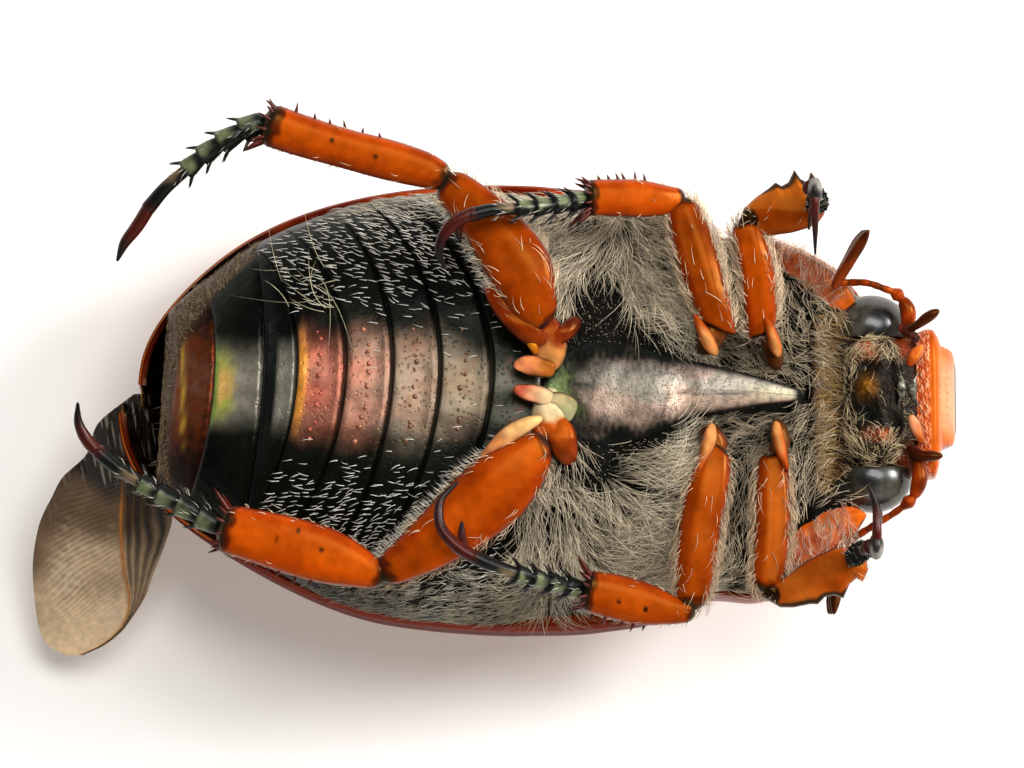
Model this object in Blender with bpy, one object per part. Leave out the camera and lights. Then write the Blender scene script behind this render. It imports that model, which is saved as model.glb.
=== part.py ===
# A washerwoman christmas beetle (Anoplognathus porosus) lying on its back, as a still, life-size model.
# Sizes are in millimetres in this script and become metres in place(). +X is the way the head points,
# +Y is the animal's right side, and +Z is up, the way the belly faces. The floor is the plane z = 0.

import math

import bmesh
import bpy
from mathutils import Matrix, Vector

MM = 0.001
GAP = 0.3             # between two nodes that meet
COXA_GAP = 0.34       # between a coxa's flat underside and the curved body
SHELL = 0.42          # thickness of the wing cases and of the pronotum
ROLL = math.radians(-10)
YAW = math.radians(-2.4)
AXIS = Vector((-1.8, -0.57, 5.3))   # the body turns about this point
SINK = 0.15           # how far the round back is flattened where it rests
CENTRE = Vector((-0.6, 0.21, 0.0))  # the middle of the whole animal, moved to the origin

WIDEST = 0.5          # x of the widest place of the wing cases
RIM_WIDTH = 6.68      # half width there
REAR = 11.4           # from there to the end of the right wing case
REAR_POWER = 2.25
BULGE = 0.35          # how far the side of a wing case stands out below its rim
BELLY_REAR = 10.6     # from the widest place to the end of the belly
BELLY_POWER = 2.6
BELLY_TOP = 8.65      # height of the belly there
KEEL_POWER = 2.3      # of the lengthwise curve of the back
LEFT_STRETCH = 1.055  # the left wing case reaches further back
LEFT_OPEN = math.radians(0.7)
HINGE = 2.0           # the left wing case opens about a point this far from the midline

SHOULDER = 5.35       # front end of the wing cases
NECK = 9.35           # front end of the prothorax
ABDOMEN_FRONT = -0.6
TAIL_STOP = 0.12      # a curve that closes at the tail is ended this far before its end

CHITIN = {
    "shell": ((0.33, 0.10, 0.025, 1), 0.25, 0.0),
    "green": ((0.035, 0.045, 0.03, 1), 0.3, 0.6),
    "wool": ((0.22, 0.19, 0.14, 1), 0.8, 0.0),
    "orange": ((0.62, 0.17, 0.015, 1), 0.3, 0.0),
    "dark": ((0.03, 0.02, 0.015, 1), 0.3, 0.3),
    "eye": ((0.05, 0.05, 0.045, 1), 0.12, 0.0),
    "wing": ((0.22, 0.14, 0.07, 1), 0.35, 0.0),
}


def clamp(value, low, high):
    return max(low, min(high, value))


def mix(a, b, t):
    return a + (b - a) * t


def along(table, x):
    """Smooth interpolation in a short table of (x, value) that runs upwards in x."""
    if x <= table[0][0]:
        return table[0][1]
    for (x0, v0), (x1, v1) in zip(table, table[1:]):
        if x <= x1:
            t = (x - x0) / (x1 - x0)
            return mix(v0, v1, t * t * (3 - 2 * t) * 0.5 + t * 0.5)
    return table[-1][1]


def arch(t, power):
    """Height of a superellipse of half width 1 and height 1 at t."""
    return max(0.0, 1 - abs(t) ** power) ** (1 / power)


# The body's own outlines, symmetric about y = 0, before it is turned to lie as it does

FRONT_WIDTH = ((WIDEST, RIM_WIDTH), (3.0, 6.5), (5.35, 5.85), (5.75, 5.6), (7.7, 5.45), (8.7, 5.15),
               (9.6, 4.65), (10.4, 3.85))
RIM_HEIGHT = ((-12.0, 4.1), (-8.0, 4.9), (-3.0, 5.3), (3.0, 5.3), (7.0, 5.0), (10.5, 4.8))
KEEL_FRONT = ((WIDEST, 0.0), (3.0, 0.25), (5.5, 0.95), (8.0, 1.9), (10.4, 3.0))
BELLY_FRONT = ((WIDEST, BELLY_TOP), (3.0, 8.9), (5.45, 8.4), (5.75, 7.8), (6.4, 7.5), (9.4, 7.1))


def rim_width(x):
    if x < WIDEST:
        return RIM_WIDTH * arch((WIDEST - x) / REAR, REAR_POWER) if x > WIDEST - REAR else 0.0
    return along(FRONT_WIDTH, x)


def rim_height(x):
    return along(RIM_HEIGHT, x)


def keel_height(x):
    if x < WIDEST:
        part = arch(clamp((WIDEST - x) / REAR, 0, 1), KEEL_POWER)
        return rim_height(x) * (1 - part)
    return along(KEEL_FRONT, x)


def inner_width(x, inset):
    """Half the room inside the shell, at a distance of inset from its outer face."""
    if x < WIDEST:
        return (RIM_WIDTH - inset) * arch(clamp((WIDEST - x) / (REAR - inset), 0, 1), REAR_POWER)
    return along(FRONT_WIDTH, x) - inset


def inner_depth(x, inset):
    """The room below the rim inside the shell."""
    if x < WIDEST:
        part = arch(clamp((WIDEST - x) / (REAR - inset), 0, 1), KEEL_POWER)
        return (rim_height(WIDEST) - inset) * part * rim_height(x) / rim_height(WIDEST)
    return rim_height(x) - keel_height(x) - inset


def belly_height(x):
    if x < WIDEST:
        rise = BELLY_TOP - rim_height(WIDEST)
        return rim_height(x) + rise * arch(clamp((WIDEST - x) / BELLY_REAR, 0, 1), BELLY_POWER)
    return along(BELLY_FRONT, x)


def shell_point(x, turn):
    """A point on the right half of the back, from the rim (turn 0) to the keel (turn 1)."""
    angle = turn * math.pi / 2
    width = rim_width(x)
    out = BULGE * (width / RIM_WIDTH) * math.sin(math.pi * min(1, turn * 1.6)) if turn < 0.625 else 0
    y = width * math.cos(angle) ** 0.86 + out
    z = rim_height(x) - (rim_height(x) - keel_height(x)) * math.sin(angle) ** 0.86
    return Vector((x, y, z))


def body_turn():
    about = Matrix.Translation(AXIS)
    turn = Matrix.Rotation(YAW, 4, "Z") @ Matrix.Rotation(ROLL, 4, "X")
    return about @ turn @ Matrix.Translation((-AXIS.x, 0, -AXIS.z))


BODY = body_turn()


# Making meshes

def new_object(name, bm, kind):
    bmesh.ops.recalc_face_normals(bm, faces=bm.faces[:])
    mesh = bpy.data.meshes.new(name)
    bm.to_mesh(mesh)
    bm.free()
    piece = bpy.data.objects.new(name, mesh)
    PARTS.objects.link(piece)
    piece.data.materials.append(material(kind))
    mesh.shade_smooth()
    mesh.set_sharp_from_angle(angle=math.radians(35))
    return piece


def material(kind):
    if kind in bpy.data.materials:
        return bpy.data.materials[kind]
    colour, roughness, metallic = CHITIN[kind]
    made = bpy.data.materials.new(kind)
    made.use_nodes = True
    shader = made.node_tree.nodes["Principled BSDF"]
    shader.inputs["Base Color"].default_value = colour
    shader.inputs["Roughness"].default_value = roughness
    shader.inputs["Metallic"].default_value = metallic
    return made


def cap(bm, row, style):
    """Closes an end ring. A body's or a shell's ring is closed by strips across, so that a bowed end
    keeps its shape, and any other by one flat face."""
    count = len(row)
    if style == "flat":
        bm.faces.new(row)
        return
    last = count if style == "body" else count - 1
    for i in range(count // 2 + (style == "body")):
        face = [row[i % count], row[(i + 1) % count], row[(last - i - 1) % count], row[(last - i) % count]]
        face = list(dict.fromkeys(face))
        if len(face) > 2:
            bm.faces.new(face)
        if last - i - 1 <= i + 2:
            break


def loft(rings, style="flat"):
    """A closed body through rings of equal count. A ring of one point is a tip."""
    bm = bmesh.new()
    rows = [[bm.verts.new(p) for p in ring] for ring in rings]
    for low, high in zip(rows, rows[1:]):
        if len(low) == 1 or len(high) == 1:
            tip, ring = (low[0], high) if len(low) == 1 else (high[0], low)
            for a, b in zip(ring, ring[1:] + ring[:1]):
                bm.faces.new((tip, a, b))
            continue
        for i in range(len(low)):
            j = (i + 1) % len(low)
            bm.faces.new((low[i], low[j], high[j], high[i]))
    for row in (rows[0], rows[-1]):
        if len(row) > 2:
            cap(bm, row, style)
    return bm


def cut(bm, point, normal):
    """Cuts away what lies past a plane and closes the cut."""
    geometry = bm.verts[:] + bm.edges[:] + bm.faces[:]
    bmesh.ops.bisect_plane(bm, geom=geometry, dist=1e-5, plane_co=point, plane_no=normal, clear_outer=True)
    open_edges = [e for e in bm.edges if e.is_boundary]
    if open_edges:
        bmesh.ops.holes_fill(bm, edges=open_edges, sides=0)
    return bm


def place(bm):
    """Metres, with the middle of the animal over the origin and the back on the floor."""
    bmesh.ops.translate(bm, verts=bm.verts[:], vec=-CENTRE)
    bmesh.ops.scale(bm, verts=bm.verts[:], vec=(MM, MM, MM))
    return bm


def on_floor(bm):
    """The round back is flat where it rests."""
    return cut(bm, Vector((0, 0, 0)), Vector((0, 0, -1)))


def turned(bm, matrix=None):
    bmesh.ops.transform(bm, matrix=matrix or BODY, verts=bm.verts[:])
    bmesh.ops.translate(bm, verts=bm.verts[:], vec=(0, 0, -SINK))
    return bm


def spine(root, way, length, radius):
    """A short tapered spine of four sides whose root is sunk in what carries it."""
    bm = bmesh.new()
    sunk = radius * 1.2
    tip = radius * 0.2
    bmesh.ops.create_cone(bm, cap_ends=True, segments=4, radius1=radius, radius2=tip, depth=length + sunk)
    turn = Vector((0, 0, 1)).rotation_difference(way.normalized()).to_matrix().to_4x4()
    middle = root + way.normalized() * (length - sunk) / 2
    bmesh.ops.transform(bm, matrix=Matrix.Translation(middle) @ turn, verts=bm.verts[:])
    return bm


def largest_surface(mesh):
    bm = bmesh.new()
    bm.from_mesh(mesh)
    bmesh.ops.remove_doubles(bm, verts=bm.verts[:], dist=2e-7)
    left = set(bm.faces)
    groups = []
    while left:
        group = set()
        front = [left.pop()]
        while front:
            face = front.pop()
            group.add(face)
            for edge in face.edges:
                for other in edge.link_faces:
                    if other in left:
                        left.remove(other)
                        front.append(other)
        groups.append(group)
    groups.sort(key=lambda g: sum(f.calc_area() for f in g), reverse=True)
    scraps = [f for group in groups[1:] for f in group]
    if scraps:
        bmesh.ops.delete(bm, geom=scraps, context="FACES")
    bm.to_mesh(mesh)
    bm.free()


def fuse(base, pieces):
    """Unites closed meshes with base in one Boolean and keeps the outer surface."""
    group = bpy.data.collections.new("joined to " + base.name)
    bpy.context.scene.collection.children.link(group)
    for number, bm in enumerate(pieces):
        bmesh.ops.recalc_face_normals(bm, faces=bm.faces[:])
        mesh = bpy.data.meshes.new(f"{base.name} piece {number}")
        place(bm).to_mesh(mesh)
        bm.free()
        group.objects.link(bpy.data.objects.new(mesh.name, mesh))
    union = base.modifiers.new("union", "BOOLEAN")
    union.operation = "UNION"
    union.operand_type = "COLLECTION"
    union.collection = group
    union.solver = "MANIFOLD"
    graph = bpy.context.evaluated_depsgraph_get()
    graph.update()
    joined = bpy.data.meshes.new_from_object(base.evaluated_get(graph))
    base.modifiers.remove(union)
    base.data = joined
    for piece in list(group.objects):
        bpy.data.objects.remove(piece)
    bpy.data.collections.remove(group)
    largest_surface(joined)
    return base


def trim(piece, point, normal):
    """Cuts a finished node at a plane given in millimetres."""
    bm = bmesh.new()
    bm.from_mesh(piece.data)
    cut(bm, (point - CENTRE) * MM, normal)
    bmesh.ops.recalc_face_normals(bm, faces=bm.faces[:])
    bm.to_mesh(piece.data)
    bm.free()
    largest_surface(piece.data)


def ring(centre, wide, thick, across, over, sides, power=0.85):
    points = []
    for k in range(sides):
        angle = 2 * math.pi * (k + 0.5) / sides
        c, s = math.cos(angle), math.sin(angle)
        reach_c = math.copysign(abs(c) ** power, c) * wide
        reach_s = math.copysign(abs(s) ** power, s) * thick
        points.append(centre + across * reach_c + over * reach_s)
    return points


def limb(stations, face=(0, 0, 1), sides=10, start=0.0, end=0.0, pointed=False):
    """A limb through stations of (x, y, z, half width, half thickness), lengthened at its ends."""
    centres = [Vector(s[:3]) for s in stations]
    first = (centres[0] - centres[1]).normalized()
    last = (centres[-1] - centres[-2]).normalized()
    if start:
        centres[0] = centres[0] + first * start
    if end:
        centres[-1] = centres[-1] + last * end
    face = Vector(face)
    rings = []
    for i, centre in enumerate(centres):
        ahead = centres[min(i + 1, len(centres) - 1)] - centres[max(i - 1, 0)]
        across = face.cross(ahead).normalized()
        over = ahead.cross(across).normalized()
        if pointed and i == len(centres) - 1:
            rings.append([centre])
        else:
            rings.append(ring(centre, stations[i][3], stations[i][4], across, over, sides))
    return loft(rings)


def direction(stations, end):
    a, b = (stations[0], stations[1]) if end == 0 else (stations[-2], stations[-1])
    return (Vector(b[:3]) - Vector(a[:3])).normalized()


def joint_plane(inner, outer):
    """The plane between two limb pieces that follow each other: a point and the way outwards."""
    point = (Vector(inner[-1][:3]) + Vector(outer[0][:3])) / 2
    normal = (direction(inner, 1) + direction(outer, 0)).normalized()
    return point, normal


# The shell of the back: wing cases, scutellum and pronotum

def stations_between(start, end, count):
    """Places from start to end, closer together towards the end."""
    return [start + (end - start) * math.sin(math.pi / 2 * i / (count - 1)) for i in range(count)]


def suture(x):
    """Half the distance between the wing cases at x, wider where the scutellum lies."""
    return GAP / 2 + 0.52 * max(0.0, x - 3.5)


def shell_rows(places, turns, inner_edge, offset):
    """Rows of points of a right half shell, moved inwards by offset along its normal."""
    rows = []
    for x in places:
        row = []
        for turn in turns:
            p = shell_point(x, turn)
            if offset:
                step = 0.02
                side = shell_point(x, min(1, turn + step)) - shell_point(x, max(0, turn - step))
                fore = shell_point(x + 0.05, turn) - shell_point(x - 0.05, turn)
                normal = side.cross(fore)
                normal = normal.normalized() if normal.length > 1e-9 else Vector((0, 0, 1))
                p = p + normal * offset
            p.y = max(p.y, inner_edge(x))
            row.append(p)
        rows.append(row)
    return rows


def half_shell(places, turns, inner_edge):
    """A closed half shell of even thickness between its outer and inner faces."""
    outer = shell_rows(places, turns, inner_edge, 0)
    inner = shell_rows(places, turns, inner_edge, SHELL)
    rings = [o + i[::-1] for o, i in zip(outer, inner)]
    return loft(rings, "shell")


def elytron(name, side):
    tail = WIDEST - REAR + TAIL_STOP
    places = [SHOULDER, SHOULDER - 0.35, 4.2, 3.5, 2.2] + stations_between(WIDEST + 0.1, tail, 15)
    turns = [i / 10 for i in range(11)]
    bm = half_shell(places, turns, suture)
    if side < 0:
        bmesh.ops.scale(bm, verts=bm.verts[:], vec=(1, -1, 1))
        shape = Matrix.Translation((SHOULDER, -HINGE, 0)) @ Matrix.Rotation(LEFT_OPEN, 4, "Z")
        shape = shape @ Matrix.Diagonal((LEFT_STRETCH, 1, 1, 1)) @ Matrix.Translation((-SHOULDER, HINGE, 0))
        bmesh.ops.transform(bm, matrix=shape, verts=bm.verts[:])
    return new_object(name, place(on_floor(turned(bm))), "shell")


def scutellum():
    """The small triangle between the roots of the wing cases."""
    rings = []
    for x in (SHOULDER, 4.8, 4.3, 3.95):
        reach = max(0.06, suture(x) - GAP)
        outer, inner = [], []
        for k in range(7):
            y = reach * (1 - k / 3)
            z = keel_height(x) + 0.11 * y * y
            outer.append(Vector((x, y, z)))
            inner.append(Vector((x, y, z + SHELL)))
        rings.append(outer + inner[::-1])
    return new_object("scutellum", place(on_floor(turned(loft(rings, "shell")))), "shell")


def pronotum():
    """The shield behind the head, wrapped round the sides of the prothorax."""
    def edge(turn, part):
        front = mix(10.35, NECK + 0.1, arch(1 - turn, 2.5))
        return mix(SHOULDER + GAP + 0.1, front, part)

    turns = [i / 9 for i in range(10)]
    rings = []
    for part in (0, 0.12, 0.4, 0.65, 0.85, 0.96, 1):
        outer, inner = [], []
        for side in (1, -1):
            row_out, row_in = [], []
            for turn in turns:
                p = shell_point(edge(turn, part), turn)
                angle = turn * math.pi / 2
                q = p - Vector((0, math.cos(angle), -math.sin(angle))) * SHELL
                row_out.append(Vector((p.x, p.y * side, p.z)))
                row_in.append(Vector((q.x, max(q.y, 0) * side, q.z)))
            if side == 1:
                outer += row_out
                inner += row_in
            else:
                outer += row_out[::-1][1:]
                inner += row_in[::-1][1:]
        rings.append(outer + inner[::-1])
    return new_object("pronotum", place(on_floor(turned(loft(rings, "shell")))), "shell")


# The solid body inside the shell

def lean(x):
    """How far the belly's midline lies to the right of the shell's, as the tail bends that way."""
    return 0.2 + 0.03 * max(0.0, -x)


def bow(x):
    """How much a plate's edge sweeps back for each square millimetre out from the midline."""
    return 0.04 + 0.035 * clamp((-0.6 - x) / 1.6, 0, 1)


def body_ring(x, inset, raised=0.0, half=8, swept=1.0):
    """One closed ring of the solid body: the belly side, then the hidden side under the shell."""
    sweep = swept * bow(x) * min(inner_width(x, inset), 5.6) ** 2
    top, low = [], []
    for k in range(2 * half - 1):
        t = math.sin(math.pi / 2 * (1 - k / (half - 1)))
        here = x - sweep * t * t
        wide = max(0.04, inner_width(here, inset))
        middle = lean(here) * clamp(wide / 2.5, 0, 1)
        left = wide - 0.6 * middle
        y = mix(middle, wide if t > 0 else -left, abs(t))
        rise = belly_height(here) - rim_height(here) + raised
        top.append(Vector((here, y, rim_height(here) + rise * arch(t, 2.15))))
        if 0 < k < 2 * half - 2:
            deep = max(0.05, inner_depth(here, inset + 0.1))
            low.append(Vector((here, y, rim_height(here) - deep * arch(t, 2.3))))
    return top + low[::-1]


PLATE_EDGES = (ABDOMEN_FRONT, -2.15, -3.65, -5.1, -6.5, -7.35, -8.95)
PLATE_STEP = 0.13     # how far a plate's rear edge stands out
TAIL = WIDEST - BELLY_REAR + TAIL_STOP
INSET = SHELL + GAP + 0.02


def abdomen():
    """Seven belly plates, each with its rear edge raised over the next."""
    rings = []
    for front, rear in zip(PLATE_EDGES, PLATE_EDGES[1:]):
        rings.append(body_ring(front - 0.04, INSET))
        rings.append(body_ring(mix(front, rear, 0.5), INSET, PLATE_STEP * 0.6))
        rings.append(body_ring(rear + 0.04, INSET, PLATE_STEP))
    rings.append(body_ring(PLATE_EDGES[-1] - 0.04, INSET))
    return new_object("abdomen", place(turned(loft(rings, "body"))), "green")


def pygidium():
    """The plate that closes the tail, nearly upright."""
    start = PLATE_EDGES[-1] - 0.1 - GAP
    rings = [body_ring(x, INSET, 0.02) for x in stations_between(start, TAIL, 6)]
    return new_object("pygidium", place(turned(loft(rings, "body"))), "green")


def metathorax():
    """The woolly thorax with the polished plate on its midline and the long process ahead of it."""
    rings = []
    for x in (ABDOMEN_FRONT + GAP, 0.4, 1.4, 2.6, 3.8, 4.8, SHOULDER + 0.1):
        rings.append(body_ring(x, INSET, swept=clamp((3.5 - x) / 3.5, 0, 1)))
    base = new_object("metathorax", place(turned(loft(rings, "body"))), "wool")
    blade = limb(PROCESS, sides=12, pointed=True)
    return fuse(base, [blade])


# x, y, z, half width and half thickness along the polished plate and its forward process
PROCESS = (
    (1.8, 0.1, 8.5, 0.5, 0.35),
    (2.2, 0.02, 8.55, 0.95, 0.5),
    (2.9, -0.05, 8.7, 1.15, 0.55),
    (4.2, -0.1, 8.75, 1.0, 0.6),
    (5.4, -0.15, 8.8, 0.82, 0.6),
    (6.6, -0.2, 8.85, 0.66, 0.5),
    (7.6, -0.26, 8.85, 0.46, 0.4),
    (8.3, -0.3, 8.8, 0.25, 0.27),
    (8.75, -0.32, 8.72, 0.05, 0.05),
)


def prosternum():
    """The ventral side of the prothorax, lower than the plate behind it."""
    rings = [body_ring(x, INSET, swept=0) for x in (SHOULDER + GAP + 0.2, 6.4, 7.4, 8.4, NECK)]
    return new_object("prosternum", place(turned(loft(rings, "body"))), "wool")


# The head, in its own upright frame, turned a little against the body

HEAD = Matrix.Translation((9.5, -0.66, 0)) @ Matrix.Rotation(math.radians(0.6), 4, "Z")
HEAD = HEAD @ Matrix.Translation((0, 0, 5.2)) @ Matrix.Rotation(math.radians(-6), 4, "X")
HEAD = HEAD @ Matrix.Translation((0, 0, -5.2 + SINK))

# x, half width, dorsal height and ventral height of the head
SKULL = (
    (0.3, 1.8, 3.9, 6.6),
    (0.6, 1.96, 3.7, 6.75),
    (1.2, 2.0, 3.65, 6.8),
    (1.9, 2.0, 3.75, 6.75),
    (2.5, 1.98, 3.95, 6.5),
    (2.8, 1.95, 4.1, 6.25),
)
CLYPEUS = (
    (3.1, 2.2, 4.2, 6.15),
    (3.22, 2.28, 4.25, 6.2),
    (3.42, 2.1, 4.3, 6.2),
    (3.52, 1.62, 4.35, 6.1),
    (3.75, 1.42, 4.4, 5.75),
    (3.88, 1.3, 4.5, 5.25),
)


def head_ring(x, wide, low, high, sides=16, power=0.7):
    centre = Vector((x, 0, (low + high) / 2))
    return ring(centre, wide, (high - low) / 2, Vector((0, 1, 0)), Vector((0, 0, 1)), sides, power)


def head():
    return new_object("head", place(turned(loft([head_ring(*s) for s in SKULL]), HEAD)), "dark")


def clypeus():
    """The broad front shield of the head, whose front face slopes away below."""
    rings = [head_ring(*s, power=0.45) for s in CLYPEUS]
    return new_object("clypeus", place(turned(loft(rings), HEAD)), "orange")


EYE = 0.98
EYE_AT = (1.42, 2.3, 5.6)
HEAD_SIDE = 2.0       # half width of the head between the eyes


def eye(name, side):
    bm = bmesh.new()
    bmesh.ops.create_uvsphere(bm, u_segments=16, v_segments=10, radius=EYE)
    bmesh.ops.scale(bm, verts=bm.verts[:], vec=(1, 1, 0.95))
    bmesh.ops.translate(bm, verts=bm.verts[:], vec=(EYE_AT[0], EYE_AT[1] * side, EYE_AT[2]))
    cut(bm, Vector((0, (HEAD_SIDE + GAP) * side, 0)), Vector((0, -side, 0)))
    return new_object(name, place(turned(bm, HEAD)), "eye")


# Legs. Each piece is a list of (x, y, z, half width, half thickness) from the body outwards.

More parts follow.
